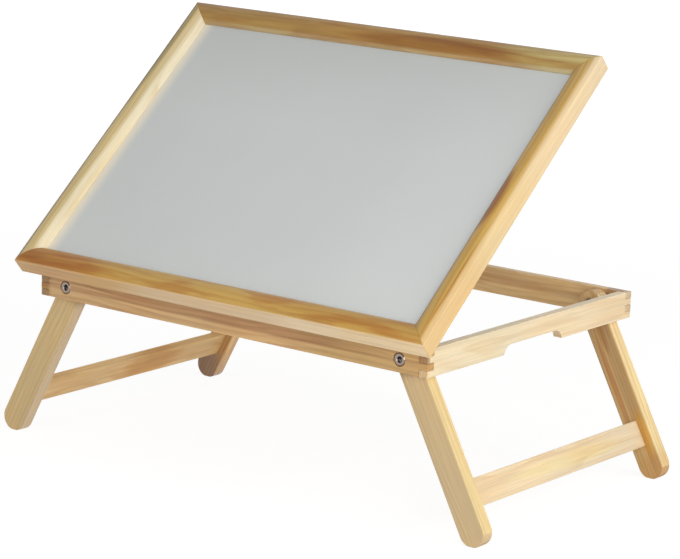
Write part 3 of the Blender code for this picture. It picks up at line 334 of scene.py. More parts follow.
class Nodes:
    """Adds shader nodes to a tree and links them as they are named."""

    def __init__(self, tree: bpy.types.NodeTree) -> None:
        """Keep the tree that the nodes go into: a material's own or a group's."""
        self.tree = tree

    def feed(self, socket: Socket, value: object) -> None:
        """Link an output to a socket, or set the socket's own value.

        Args:
            socket: The input socket.
            value: An output socket, a number, a vector or a colour.
        """
        if isinstance(value, Socket):
            self.tree.links.new(value, socket)
        elif socket.type == "RGBA":
            socket.default_value = (*value, 1.0)
        else:
            socket.default_value = value

    def fill(self, sockets: Sockets, **values: object) -> None:
        """Feed sockets by their names, in small letters and with _ for a space."""
        for label, value in values.items():
            self.feed(sockets[label.replace("_", " ").title()], value)

    def add(self, kind: str, **settings: object) -> bpy.types.Node:
        """Add a node and set its options.

        Args:
            kind: The node's type name.
            settings: The options to set on it.

        Returns:
            The new node.
        """
        node = self.tree.nodes.new(kind)
        for option, value in settings.items():
            setattr(node, option, value)
        return node

    def wired(self, kind: str, *values: object, **settings: object) -> Socket:
        """Add a node and feed its inputs in their order.

        Args:
            kind: The node's type name.
            values: What goes into its inputs.
            settings: The options to set on it.

        Returns:
            Its first output.
        """
        node = self.add(kind, **settings)
        for socket, value in zip(node.inputs, values):
            self.feed(socket, value)
        return node.outputs[0]

    def math(self, operation: str, *values: object) -> Socket:
        """Work out a number from one to three others."""
        return self.wired("ShaderNodeMath", *values, operation=operation)

    def ramp(
        self, value: object, low: float, high: float, start: float = 0.0, end: float = 1.0
    ) -> Socket:
        """Carry a value smoothly from low and high to start and end, and hold it beyond them."""
        settings = {"interpolation_type": "SMOOTHSTEP"}
        return self.wired("ShaderNodeMapRange", value, low, high, start, end, **settings)

    def distance(self, first: Socket, second: Socket) -> Socket:
        """The root of the sum of two numbers' squares."""
        square = self.math("MULTIPLY", first, first)
        return self.math("SQRT", self.math("MULTIPLY_ADD", second, second, square))

    def swung(self, value: object, noise: Socket, amount: object) -> Socket:
        """Add to a value how far a noise is over a half, times an amount."""
        return self.math("MULTIPLY_ADD", self.math("SUBTRACT", noise, 0.5), amount, value)

    def noise(
        self,
        place: Socket,
        seed: object,
        scale: object,
        shift: float = 0.0,
        detail: float = 2.0,
        roughness: float = 0.5,
    ) -> Socket:
        """Read smooth noise, which is about one unit across where the scale is one.

        Args:
            place: Where the noise is read.
            seed: Which of many unlike noises is read.
            scale: What the place is multiplied by along each axis, or one socket for all three.
            shift: What is added to the seed.
            detail: How many finer octaves it has.
            roughness: How strong the finer octaves are.

        Returns:
            The noise, about a half on average.
        """
        scaled = self.wired("ShaderNodeVectorMath", place, scale, operation="MULTIPLY")
        if shift:
            seed = self.math("ADD", seed, shift)
        settings = {"noise_dimensions": "4D"}
        return self.wired("ShaderNodeTexNoise", scaled, seed, 1.0, detail, roughness, **settings)

    def mix(self, share: object, first: object, second: object, blend: str = "MIX") -> Socket:
        """Mix two colours.

        Args:
            share: How much of the second colour shows, 0 to 1.
            first: The first colour.
            second: The second colour.
            blend: The Mix node's blend type.

        Returns:
            The mixed colour.
        """
        node = self.add("ShaderNodeMix", data_type="RGBA", blend_type=blend)
        for slot, value in ((0, share), (6, first), (7, second)):
            self.feed(node.inputs[slot], value)
        return node.outputs[2]

    def tinted(self, colour: Socket, factor: object) -> Socket:
        """Multiply a colour by another one, or by a number's socket."""
        return self.mix(1.0, colour, factor, "MULTIPLY")

    def split(self, vector: Socket) -> list[Socket]:
        """Take a vector apart.

        Args:
            vector: The vector.

        Returns:
            Its X, Y and Z.
        """
        node = self.add("ShaderNodeSeparateXYZ")
        self.feed(node.inputs[0], vector)
        return list(node.outputs)

    def group(self, tree: bpy.types.NodeTree, **values: object) -> Sockets:
        """Place a node group and feed its inputs.

        Args:
            tree: The group's tree.
            values: What goes into each input.

        Returns:
            The group's outputs.
        """
        node = self.add("ShaderNodeGroup", node_tree=tree)
        self.fill(node.inputs, **values)
        return node.outputs


def new_group(
    name: str, inputs: dict[str, str], outputs: dict[str, str]
) -> tuple[Nodes, Sockets, Sockets]:
    """Start a shader node group.

    Args:
        name: The group's name.
        inputs: Under each kind, Vector, Float or Color, its inputs' names with commas between.
        outputs: The outputs' names, in the same way.

    Returns:
        The node builder, the values that the group is given and the sockets of its results.
    """
    tree = bpy.data.node_groups.new(name, "ShaderNodeTree")
    for direction, kinds in (("INPUT", inputs), ("OUTPUT", outputs)):
        for kind, labels in kinds.items():
            for label in labels.split(", "):
                tree.interface.new_socket(label, in_out=direction, socket_type=f"NodeSocket{kind}")
    nodes = Nodes(tree)
    return nodes, nodes.add("NodeGroupInput").outputs, nodes.add("NodeGroupOutput").inputs


class SharedEffects:
    """The node groups that more than one material uses, each built once."""

    streak_noise: ClassVar[tuple] = ((4.0, 240.0, 240.0), 5.9)

    def __init__(self) -> None:
        """Build the groups."""
        self.timber = self.build_timber()
        self.stain = self.build_stain()
        self.handling = self.build_handling()
        self.speckle = self.build_speckle()

    def build_timber(self) -> bpy.types.NodeTree:
        """Build sawn pine, cut from a log whose rings are cylinders round a pith line along X.

        A ring's number is the distance from the pith over the ring spacing, plus a slow wander
        along the length. Within a ring the tone rises slowly and drops at its edge. Fibres are
        noise drawn out along X, and heartwood shows as brown blotches.

        Returns:
            The group's tree.
        """
        inputs = {
            "Vector": "Place, Facing",
            "Float": "Seed, Ring Spacing, Pith Across, Pith Below, Contrast, Blotch, "
            "Sap Reach, Sap Share",
            "Color": "Early Wood, Late Wood, Heart Wood, Sap Wood",
        }
        outputs = {"Color": "Colour", "Float": "Roughness, Height"}
        nodes, put, result = new_group("sawn_pine", inputs, outputs)
        place, seed = put["Place"], put["Seed"]
        across, up = nodes.split(place)[1:]

        sway = nodes.noise(place, seed, (5.0, 16.0, 16.0), detail=1.0)
        lift = nodes.noise(place, seed, (7.0, 20.0, 20.0), shift=7.3, detail=1.0)
        side = nodes.swung(nodes.math("SUBTRACT", across, put["Pith Across"]), sway, 0.020)
        depth = nodes.swung(nodes.math("ADD", up, put["Pith Below"]), lift, 0.016)
        ring = nodes.math("DIVIDE", nodes.distance(side, depth), put["Ring Spacing"])
        uneven = nodes.noise(place, seed, (2.0, 90.0, 90.0), shift=3.1, detail=1.0)
        phase = nodes.math("FRACT", nodes.math("MULTIPLY_ADD", uneven, 1.4, ring))
        fall = nodes.ramp(phase, 0.86, 1.0, 1.0, 0.0)
        late = nodes.math("MULTIPLY", nodes.ramp(phase, 0.25, 0.82), fall)
        patchy = nodes.noise(place, seed, (6.0, 70.0, 70.0), shift=11.7)
        late = nodes.math("MULTIPLY", late, nodes.ramp(patchy, 0.25, 0.75, 0.35, 1.0))
        late = nodes.math("MULTIPLY", late, put["Contrast"])

        fibre = nodes.noise(place, seed, (22.0, 1100.0, 1100.0), detail=3.0, roughness=0.65)
        streak = nodes.noise(place, seed, *self.streak_noise)
        cloud = nodes.noise(place, seed, (9.0, 28.0, 28.0), shift=2.2)
        patch = nodes.noise(place, seed, (16.0, 110.0, 110.0), shift=17.3)
        brown = nodes.math("MULTIPLY", nodes.ramp(patch, 0.44, 0.62), put["Blotch"])
        # The band along the edge at zero across: partly sapwood, and on the mouldings painted light
        # on a lit outer side and painted shade on an unlit one.
        sap_and_light_mask = nodes.swung(nodes.math("DIVIDE", across, put["Sap Reach"]), streak, 0.5)
        sap_and_light_mask = nodes.math("MULTIPLY", nodes.ramp(sap_and_light_mask, 0.4, 1.1, 1.0, 0.0), put["Sap Share"])

        tone = nodes.mix(late, put["Early Wood"], put["Late Wood"])
        tone = nodes.mix(brown, tone, put["Heart Wood"])
        tone = nodes.mix(sap_and_light_mask, tone, put["Sap Wood"])
        warm = nodes.mix(nodes.ramp(cloud, 0.3, 0.7), (1.03, 1.0, 0.93), (0.97, 0.99, 1.02))
        grain = nodes.ramp(fibre, 0.25, 0.75, 0.90, 1.06)
        band = nodes.ramp(streak, 0.2, 0.8, 0.93, 1.05)
        tone = nodes.tinted(nodes.tinted(tone, warm), nodes.math("MULTIPLY", grain, band))

        end_grain = nodes.ramp(nodes.math("ABSOLUTE", nodes.split(put["Facing"])[0]), 0.75, 0.95)
        pores = nodes.ramp(nodes.noise(place, seed, (400.0, 900.0, 900.0)), 0.35, 0.65)
        dark_end = nodes.mix(pores, (0.84, 0.77, 0.70), (0.96, 0.92, 0.88))
        tone = nodes.mix(end_grain, tone, nodes.tinted(tone, dark_end))

        rough = nodes.ramp(fibre, 0.2, 0.8, 0.50, 0.38)
        rough = nodes.math("MULTIPLY_ADD", late, -0.05, rough)
        rough = nodes.math("MULTIPLY_ADD", end_grain, 0.18, rough)
        height = nodes.math("MULTIPLY_ADD", late, 0.5, nodes.math("MULTIPLY", fibre, 0.5))
        nodes.fill(result, colour=tone, roughness=rough, height=height)
        return nodes.tree

    def build_stain(self) -> bpy.types.NodeTree:
        """Build a stained patch or a patch of painted light or shade: inside an ellipse on the
        board, the colour is multiplied by a tint.

        The distance from the patch's middle is one at the ellipse, and streaks along the grain
        are added to it, which makes the patch's ends ragged.

        Returns:
            The group's tree.
        """
        inputs = {
            "Vector": "Place",
            "Float": "Seed, Middle, Reach, Stripe, Width, Ragged",
            "Color": "Colour, Tint",
        }
        nodes, put, result = new_group("stain", inputs, {"Color": "Colour"})
        along, across = nodes.split(put["Place"])[:2]
        near = nodes.math("DIVIDE", nodes.math("SUBTRACT", along, put["Middle"]), put["Reach"])
        aside = nodes.math("DIVIDE", nodes.math("SUBTRACT", across, put["Stripe"]), put["Width"])
        streak = nodes.noise(put["Place"], put["Seed"], *self.streak_noise)
        away = nodes.swung(nodes.distance(aside, near), streak, put["Ragged"])
        share = nodes.ramp(away, 0.55, 1.1, 1.0, 0.0)
        tinted = nodes.tinted(put["Colour"], put["Tint"])
        nodes.fill(result, colour=nodes.mix(share, put["Colour"], tinted))
        return nodes.tree

    def build_handling(self) -> bpy.types.NodeTree:
        """Build the marks of handling: slow smudges and fine wiping lines in the gloss.

        Returns:
            The group's tree.
        """
        inputs = {"Vector": "Place", "Float": "Seed, Roughness, Amount"}
        nodes, put, result = new_group("handling", inputs, {"Float": "Roughness"})
        smudge = nodes.noise(put["Place"], put["Seed"], (18.0, 18.0, 18.0), detail=3.0)
        wipe = nodes.noise(put["Place"], put["Seed"], (14.0, 420.0, 420.0))
        smudge, wipe = nodes.ramp(smudge, 0.35, 0.75), nodes.ramp(wipe, 0.45, 0.75)
        marks = nodes.math("MULTIPLY_ADD", wipe, 0.4, smudge)
        nodes.fill(result, roughness=nodes.swung(put["Roughness"], marks, put["Amount"]))
        return nodes.tree

    def build_speckle(self) -> bpy.types.NodeTree:
        """Build a fine even texture, such as the tooth of a laminate or the skin of rubber.

        Returns:
            The group's tree.
        """
        inputs = {"Vector": "Place", "Float": "Seed, Fineness"}
        nodes, put, result = new_group("speckle", inputs, {"Float": "Tone, Height"})
        fine = nodes.noise(put["Place"], put["Seed"], put["Fineness"], detail=3.0, roughness=0.7)
        nodes.fill(result, tone=nodes.ramp(fine, 0.3, 0.7), height=fine)
        return nodes.tree


class Surface:
    """A new material with its Principled shader and the coordinates of the piece that wears it."""

    def __init__(self, name: str, place: Matrix) -> None:
        """Start the material.

        Args:
            name: The material's name.
            place: The piece's own placement, whose X axis runs along the grain.
        """
        self.material = bpy.data.materials.new(name)
        self.material.use_nodes = True
        self.nodes = Nodes(self.material.node_tree)
        self.shader = self.material.node_tree.nodes["Principled BSDF"]
        given = self.nodes.add("ShaderNodeTexCoord").outputs
        self.place = self.turned_back(given["Object"], place, place.to_translation())
        self.facing = self.turned_back(given["Normal"], place, Vector())

    def turned_back(self, vector: Socket, place: Matrix, origin: Vector) -> Socket:
        """Carry a vector from the model's frame into the piece's own one.

        Args:
            vector: The vector in the model's frame.
            place: The piece's placement.
            origin: What is taken from the vector first.

        Returns:
            The vector in the piece's frame.
        """
        node = self.nodes.add("ShaderNodeMapping", vector_type="TEXTURE")
        self.nodes.fill(node.inputs, vector=vector, location=origin, rotation=place.to_euler())
        return node.outputs[0]

    def feed(self, label: str, value: object) -> None:
        """Feed one input of the Principled shader."""
        self.nodes.feed(self.shader.inputs[label], value)

    def speckle(self, seed: float, fineness: float) -> Sockets:
        """Spread a fine even texture over the piece, with a tone and a height."""
        return self.nodes.group(EFFECTS.speckle, place=self.place, seed=seed, fineness=fineness)

    def handle(self, seed: float, roughness: object, amount: float) -> None:
        """Give the surface its gloss, with the marks of handling in it."""
        spot = {"place": self.place, "seed": seed, "roughness": roughness, "amount": amount}
        self.feed("Roughness", self.nodes.group(EFFECTS.handling, **spot)["Roughness"])

    def bump(self, height: Socket, depth: float, strength: float) -> None:
        """Give the surface relief.

        Args:
            height: The height, 0 to 1.
            depth: How deep a height of 1 is, in metres.
            strength: How much of the relief shows.
        """
        node = self.nodes.add("ShaderNodeBump")
        self.nodes.fill(node.inputs, strength=strength, distance=depth, height=height)
        self.feed("Normal", node.outputs[0])


# Finishes.

class Cut(Enum):
    """How a timber was cut: how far its log's pith lies across it and below its wide face."""

    FLAT = (0.004, 0.048)
    RIFT = (-0.040, 0.040)
    QUARTER = (-0.070, 0.006)


@dataclass(frozen=True)
class StainAndPaintedLight:
    """A patch of a board that is darker, paler or warmer than the rest. Some patches are the
    wood's own marks and heartwood, and some are painted light or painted shade.

    Its middle and reach are measured along the piece, and its stripe and width across it. A
    reach or a width that isn't given takes in the whole piece.
    """

    tint: Colour
    middle: float = 0.0
    reach: float = 9.0
    stripe: float = 0.0
    width: float = 9.0
    ragged: float = 0.5


@dataclass(frozen=True)
class Board:
    """One board: how it was sawn, which of many boards it is, its blotches, and its marks and
    patches of painted light and shade.
    """

    cut: Cut
    seed: float
    blotch: float = 0.0
    stains: tuple[StainAndPaintedLight, ...] = ()


@dataclass(frozen=True)
class PineFinish:
    """Clear satin lacquer over pine. A band of another tone lies along the edge at zero across:
    partly sapwood and partly painted light on the front moulding, painted light on the right
    moulding, and painted shade on the left and rear mouldings.
    """

    coat: ClassVar[float] = 0.06
    coat_roughness: ClassVar[float] = 0.28
    sheen_level: ClassVar[float] = 0.35

    early_wood: Colour
    late_wood: Colour
    heart_wood: Colour
    sap_wood: Colour = (1.0, 1.0, 1.0)
    sap_reach: float = 0.004
    sap_share: float = 0.0
    ring_spacing: float = 0.0034
    contrast: float = 0.75

    def material(self, name: str, place: Matrix, board: Board) -> bpy.types.Material:
        """Make the material of one timber.

        Args:
            name: The piece's name.
            place: The piece's placement, with X along the grain and Z out of its wide face.
            board: The board that it was made from.

        Returns:
            The material.
        """
        surface = Surface(f"{name}_pine", place)
        nodes = surface.nodes
        shared = {"place": surface.place, "seed": board.seed}
        across, below = board.cut.value
        wood = nodes.group(
            EFFECTS.timber,
            facing=surface.facing,
            pith_across=across,
            pith_below=below,
            blotch=board.blotch,
            **shared,
            **asdict(self),
        )
        tone = wood["Colour"]
        # The wood's own marks and the patches of painted light and shade, one over another.
        for stain in board.stains:
            tone = nodes.group(EFFECTS.stain, colour=tone, **shared, **asdict(stain))["Colour"]
        surface.feed("Base Color", tone)
        surface.feed("Specular IOR Level", self.sheen_level)
        surface.feed("Coat Weight", self.coat)
        surface.feed("Coat Roughness", self.coat_roughness)
        surface.handle(board.seed, wood["Roughness"], amount=0.08)
        surface.bump(wood["Height"], depth=0.00012, strength=0.35)
        return surface.material


@dataclass(frozen=True)
class LaminateFinish:
    """A pale satin laminate with a fine tooth. A painted glow along its left edge stands for the
    light and reflection that the left moulding throws on it, and painted shade darkens its upper
    part.
    """

    pale: Colour
    deep: Colour
    # The colour of the painted glow along the left edge.
    glow: Colour = srgb(255, 247, 228)
    glow_from: float = -0.2375
    glow_to: float = -0.2190
    roughness: float = 0.36

    def material(self, name: str, place: Matrix) -> bpy.types.Material:
        """Make the sheet's material.

        Args:
            name: The piece's name.
            place: The sheet's placement.

        Returns:
            The material.
        """
        surface = Surface(f"{name}_laminate", place)
        nodes = surface.nodes
        tooth = surface.speckle(seed=4.0, fineness=1800.0)
        cloud = nodes.noise(surface.place, 2.0, (5.0, 5.0, 5.0))
        share = nodes.ramp(cloud, 0.3, 0.7, 0.0, 0.6)
        share = nodes.math("MULTIPLY_ADD", tooth["Tone"], 0.25, share)
        across, up = nodes.split(surface.place)[:2]
        # Painted shade: the upper part of the sheet is darker, as the light falls off up the slope.
        upper = nodes.mix(nodes.ramp(up, 0.20, 0.36), tint(102, 102, 102), tint(97, 97, 97))
        sheet = nodes.tinted(nodes.mix(share, self.pale, self.deep), upper)
        # Painted light and reflection from the left moulding along the sheet's left edge.
        painted_glow_share = nodes.ramp(across, self.glow_from, self.glow_to, 1.0, 0.0)
        surface.feed("Base Color", nodes.mix(painted_glow_share, sheet, self.glow))
        surface.handle(9.0, self.roughness, amount=0.05)
        surface.bump(tooth["Height"], depth=0.00003, strength=0.25)
        return surface.material


@dataclass(frozen=True)
class SteelFinish:
    """Zinc-plated or bright steel. A hexagon socket, if it has one, has painted shade in it, deeper
    in and heavier towards one wall.
    """

    bright: Colour
    dull: Colour
    roughness: float = 0.30
    socket_radius: float = 0.0
    # The colour of the painted shade in a hexagon socket.
    grease: Colour = srgb(58, 50, 52)

    def material(self, name: str, place: Matrix) -> bpy.types.Material:
        """Make the steel's material.

        Args:
            name: The piece's name.
            place: The piece's placement.

        Returns:
            The material.
        """
        surface = Surface(f"{name}_steel", place)
        nodes = surface.nodes
        plating = surface.speckle(seed=1.0, fineness=900.0)
        across, up, depth = nodes.split(surface.place)
        # Painted shade in the socket: deeper in, and heavier towards one wall.
        inside = nodes.math("LESS_THAN", nodes.distance(up, across), self.socket_radius)
        socket_shade_share = nodes.math("MULTIPLY", nodes.ramp(depth, 0.0003, 0.0010), inside)
        socket_shade_share = nodes.math("MULTIPLY", socket_shade_share, nodes.ramp(up, -0.0004, 0.0016, 1.0, 0.35))
        steel = nodes.mix(plating["Tone"], self.bright, self.dull)
        surface.feed("Base Color", nodes.mix(socket_shade_share, steel, self.grease))
        surface.feed("Metallic", 1.0)
        surface.handle(3.0, self.roughness, amount=0.14)
        surface.bump(plating["Height"], depth=0.00002, strength=0.2)
        return surface.material


@dataclass(frozen=True)
class MouldedFinish:
    """Moulded rubber or nylon, with a fine skin."""

    pale: Colour
    deep: Colour
    roughness: float

    def material(self, name: str, place: Matrix) -> bpy.types.Material:
        """Make the moulded material.

        Args:
            name: The piece's name.
            place: The piece's placement.

        Returns:
            The material.
        """
        surface = Surface(f"{name}_moulded", place)
        skin = surface.speckle(seed=6.0, fineness=1400.0)
        surface.feed("Base Color", surface.nodes.mix(skin["Tone"], self.pale, self.deep))
        surface.handle(5.0, self.roughness, amount=0.10)
        surface.bump(skin["Height"], depth=0.00004, strength=0.3)
        return surface.material


@dataclass(frozen=True)
class FibreboardFinish:
    """Raw hardboard: brown felted fibres with a woven screen print on its back."""

    pale: Colour
    deep: Colour
    mesh_pitch: float = 0.0012

    def material(self, name: str, place: Matrix) -> bpy.types.Material:
        """Make the board's material. The screen print is the product of two sine waves.

        Args:
            name: The piece's name.
            place: The board's placement.

        Returns:
            The material.
        """
        surface = Surface(f"{name}_fibre", place)
        nodes = surface.nodes
        felt = surface.speckle(seed=8.0, fineness=700.0)
        coarse = nodes.noise(surface.place, 3.0, (60.0, 60.0, 60.0), detail=4.0, roughness=0.7)
        wave = 2 * math.pi / self.mesh_pitch
        ways = nodes.split(surface.place)[:2]
        threads = [nodes.math("SINE", nodes.math("MULTIPLY", way, wave)) for way in ways]
        screen = nodes.ramp(nodes.math("MULTIPLY", *threads), -0.6, 0.6)
        share = nodes.ramp(coarse, 0.35, 0.65, 0.0, 0.5)
        share = nodes.math("MULTIPLY_ADD", felt["Tone"], 0.4, share)
        share = nodes.math("MULTIPLY_ADD", screen, 0.15, share)
        surface.feed("Base Color", nodes.mix(share, self.pale, self.deep))
        surface.feed("Roughness", nodes.ramp(coarse, 0.3, 0.7, 0.68, 0.82))
        height = nodes.math("MULTIPLY_ADD", screen, 0.6, felt["Height"])
        surface.bump(height, depth=0.0001, strength=0.4)
        return surface.material


EFFECTS = SharedEffects()
MOULDING_RINGS = 0.0042
PALE_PINE = PineFinish(srgb(240, 218, 182), srgb(228, 196, 152), srgb(196, 142, 92))
LEG_PINE = PineFinish(srgb(226, 197, 147), srgb(213, 180, 129), srgb(196, 150, 99))
BROWN_PINE = PineFinish(srgb(224, 182, 126), srgb(199, 151, 98), srgb(160, 104, 66))
STRIPED_PINE = PineFinish(srgb(220, 183, 126), srgb(202, 161, 107), srgb(180, 122, 78))
HONEY_PINE = PineFinish(srgb(248, 212, 152), srgb(230, 184, 116), srgb(206, 146, 80))
RAIL_PINE = PineFinish(srgb(234, 194, 140), srgb(203, 157, 108), srgb(182, 128, 84))
# Paler than RAIL_PINE as painted light: the rear rail's inner face lies in shade under the top.
PAINTED_LIGHT_REAR_RAIL_PINE = PineFinish(srgb(255, 220, 160), srgb(236, 186, 124), srgb(196, 136, 84))
# Its fourth colour is partly sapwood and partly painted light on the outer face, lit from below.
FRONT_PINE = PineFinish(
    srgb(216, 176, 96), srgb(196, 145, 70), srgb(190, 124, 54),
    srgb(241, 209, 165), 0.0012, 0.95, MOULDING_RINGS,
)
# Its fourth colour is painted shade along the outer top edge.
REAR_PINE = PineFinish(
    srgb(190, 150, 82), srgb(170, 122, 60), srgb(150, 92, 42),
    srgb(112, 92, 56), 0.0030, 0.6, MOULDING_RINGS,
)
# Its fourth colour is painted shade on the outer slope, which faces away from the key lamp.
LEFT_PINE = PineFinish(
    srgb(255, 240, 204), srgb(240, 214, 164), srgb(206, 166, 96),
    srgb(148, 119, 56), 0.0070, 0.9, MOULDING_RINGS,
)
# Its fourth colour is painted light on the outer part, which faces the key lamp.
RIGHT_PINE = PineFinish(
    srgb(212, 171, 88), srgb(192, 144, 68), srgb(140, 96, 48),
    srgb(234, 205, 152), 0.0062, 0.95, MOULDING_RINGS,
)
BEECH = PineFinish(
    srgb(222, 184, 138), srgb(198, 154, 108), srgb(176, 126, 84), ring_spacing=0.0022, contrast=0.4
)
RAIL_SHADE = StainAndPaintedLight(tint(82, 78, 74), 0.100, 0.032, ragged=0.2)
BOARDS: dict[str, tuple[PineFinish, Board]] = {
    "front_rail": (RAIL_PINE, Board(Cut.RIFT, 1.0, 0.2, (
        StainAndPaintedLight(tint(88, 83, 81), -0.03, 0.26, 0.001, 0.007, 1.2),
        StainAndPaintedLight(tint(90, 89, 83), 0.22, 0.15),
        StainAndPaintedLight(tint(84, 77, 67), -0.248, 0.014),
    ))),
    "rear_rail": (PAINTED_LIGHT_REAR_RAIL_PINE, Board(Cut.RIFT, 2.0, 0.2, (
        StainAndPaintedLight(tint(92, 88, 86), 0.10, 0.16, 0.002, 0.006, 1.2),
        StainAndPaintedLight(tint(92, 99, 116), 0.2480, 0.004, ragged=0.1),
        # Painted shade on the rear rail between the right rear leg's top and the corner.
        StainAndPaintedLight(tint(80, 76, 80), 0.2330, 0.012, ragged=0.3),
    ))),
    "left_side_rail": (PALE_PINE, Board(Cut.FLAT, 3.0, 0.0, (
        StainAndPaintedLight(tint(80, 74, 66), -0.1765, 0.016, ragged=0.1),
    ))),
    "right_side_rail": (PALE_PINE, Board(Cut.FLAT, 4.0, 0.0, (
        StainAndPaintedLight(tint(97, 99, 100), -0.13, 0.14),
        StainAndPaintedLight(tint(78, 68, 60), -0.1765, 0.004, 0.0035, 0.0052, 0.1),
        StainAndPaintedLight(tint(100, 96, 90), -0.1765, 0.004, -0.0104, 0.0036, 0.1),
        # Painted highlight along the rail's top face.
        StainAndPaintedLight(tint(113, 117, 121), stripe=0.0143, width=0.0010, ragged=0.1),
    ))),
    "prop_notch_block": (RAIL_PINE, Board(Cut.RIFT, 5.0)),
    "notch_block_left_dowel": (BEECH, Board(Cut.QUARTER, 6.0)),
    "notch_block_right_dowel": (BEECH, Board(Cut.QUARTER, 6.0)),
    "left_front_leg": (LEG_PINE, Board(Cut.RIFT, 11.0, 0.0, (
        RAIL_SHADE,
        StainAndPaintedLight(tint(104, 104, 102)),
        # Painted light on the side face towards +X, which faces the key lamp.
        StainAndPaintedLight(tint(99, 101, 112), stripe=0.0145, width=0.0018),
    ))),
    "left_rear_leg": (BROWN_PINE, Board(Cut.RIFT, 12.0, 0.2, (
        RAIL_SHADE,
        StainAndPaintedLight(tint(78, 78, 92), -0.103, 0.050, -0.003, 0.022, 0.3),
        # Painted light on the side face towards +X, which faces the key lamp.
        StainAndPaintedLight(tint(115, 117, 122), stripe=0.0145, width=0.0018, ragged=0.2),
    ))),
    "left_stretcher": (HONEY_PINE, Board(Cut.FLAT, 13.0, 0.25, (
        StainAndPaintedLight(tint(93, 84, 68), 0.03, 0.05, 0.0, 0.020, 1.2),
    ))),
    "right_front_leg": (LEG_PINE, Board(Cut.RIFT, 14.0, 0.0, (
        RAIL_SHADE,
        StainAndPaintedLight(tint(96, 96, 98)),
        # Painted light on the side face towards +X, which faces the key lamp.
        StainAndPaintedLight(tint(107, 109, 104), stripe=0.0145, width=0.0018, ragged=0.2),
    ))),
    "right_rear_leg": (STRIPED_PINE, Board(Cut.RIFT, 15.0, 0.2, (
        StainAndPaintedLight(tint(93, 92, 92), 0.005, 0.100, 0.0042, 0.0078, 0.5),
        StainAndPaintedLight(tint(93, 84, 76), 0.062, 0.034, 0.0005, 0.0048, 0.6),
        StainAndPaintedLight(tint(94, 84, 76), 0.002, 0.072, -0.0070, 0.0036, 0.6),
        StainAndPaintedLight(tint(104, 98, 75), -0.056, 0.030, 0.006, 0.0075, 0.5),
        StainAndPaintedLight(tint(97, 92, 86), -0.100, 0.026),
        StainAndPaintedLight(tint(112, 115, 119), 0.086, 0.022, 0.001, 0.017, 0.3),
        # Painted shade along the leg's edge on the -X side.
        StainAndPaintedLight(tint(78, 76, 74), stripe=-0.0148, width=0.0016, ragged=0.2),
        # Painted light on the side face towards +X, which faces the key lamp.
        StainAndPaintedLight(tint(115, 126, 138), stripe=0.0145, width=0.0018, ragged=0.2),
    ))),
    "right_stretcher": (PALE_PINE, Board(Cut.FLAT, 16.0, 0.0, (
        StainAndPaintedLight(tint(101, 101, 93), 0.02, 0.11, 0.0, 0.009, 0.9),
    ))),
    "front_moulding": (FRONT_PINE, Board(Cut.RIFT, 21.0, 0.6, (
        StainAndPaintedLight(tint(92, 84, 81), -0.225, 0.085, 0.014, 0.017, 1.0),
        StainAndPaintedLight(tint(98, 93, 84), -0.24, 0.15),
        StainAndPaintedLight(tint(95, 90, 88), -0.252, 0.034, 0.010, 0.007, 0.3),
        StainAndPaintedLight(tint(94, 91, 85), 0.19, 0.14, 0.013, 0.016, 0.8),
        StainAndPaintedLight(tint(104, 108, 113), 0.19, 0.12, 0.0, 0.0028, 0.2),
        StainAndPaintedLight(tint(98, 96, 91), -0.20, 0.12, 0.0, 0.0028, 0.2),
    ))),
    "rear_moulding": (REAR_PINE, Board(Cut.RIFT, 22.0, 0.35, (
        StainAndPaintedLight(tint(86, 77, 68), -0.060, 0.120, 0.0160, 0.0085, 0.6),
        StainAndPaintedLight(tint(112, 122, 138), -0.245, 0.105, 0.006, 0.012, 0.9),
        StainAndPaintedLight(tint(100, 106, 112), -0.245, 0.100, ragged=0.9),
        # Painted highlight along the inner edge at the panel.
        StainAndPaintedLight(tint(107, 117, 150), stripe=0.0252, width=0.0034, ragged=0.1),
    ))),
    "left_moulding": (LEFT_PINE, Board(Cut.RIFT, 23.0, 0.0, (
        StainAndPaintedLight(tint(92, 88, 76), stripe=0.009, width=0.009, ragged=0.9),
        # Painted shade along the outer edge, which faces away from the key lamp.
        StainAndPaintedLight(tint(82, 80, 80), stripe=0.0010, width=0.0024, ragged=0.1),
        StainAndPaintedLight(tint(81, 80, 74), -0.16, 0.14, 0.003, 0.010),
        StainAndPaintedLight(tint(97, 95, 91), 0.12, 0.10, 0.003, 0.010),
    ))),
    "right_moulding": (RIGHT_PINE, Board(Cut.RIFT, 24.0, 0.12, (
        # Painted shade on the inner slope, which faces away from the key lamp.
        StainAndPaintedLight(tint(74, 68, 62), stripe=0.0250, width=0.0062, ragged=0.3),
        StainAndPaintedLight(tint(76, 61, 52), -0.008, 0.046, 0.0186, 0.0082, 0.5),
        StainAndPaintedLight(tint(88, 82, 72), -0.115, 0.060, 0.0066, 0.0011, 0.3),
        StainAndPaintedLight(tint(101, 103, 112), 0.13, 0.12, ragged=0.3),
        StainAndPaintedLight(tint(98, 94, 89), -0.145, 0.090, 0.003, 0.009, 0.3),
    ))),
    "prop_batten": (RAIL_PINE, Board(Cut.RIFT, 31.0)),
    "prop_left_lug": (RAIL_PINE, Board(Cut.RIFT, 32.0)),
    "prop_right_lug": (RAIL_PINE, Board(Cut.RIFT, 33.0)),
    "prop_left_arm": (RAIL_PINE, Board(Cut.RIFT, 41.0)),
    "prop_right_arm": (RAIL_PINE, Board(Cut.RIFT, 42.0)),
    "prop_foot_dowel": (BEECH, Board(Cut.QUARTER, 44.0)),
}
PALE_LAMINATE = LaminateFinish(srgb(222, 225, 223), srgb(215, 219, 217))
ZINC = SteelFinish(srgb(172, 159, 150), srgb(136, 124, 116), socket_radius=0.0030)
DULL_STEEL = SteelFinish(srgb(140, 118, 100), srgb(108, 90, 78), 0.46, 0.0030)
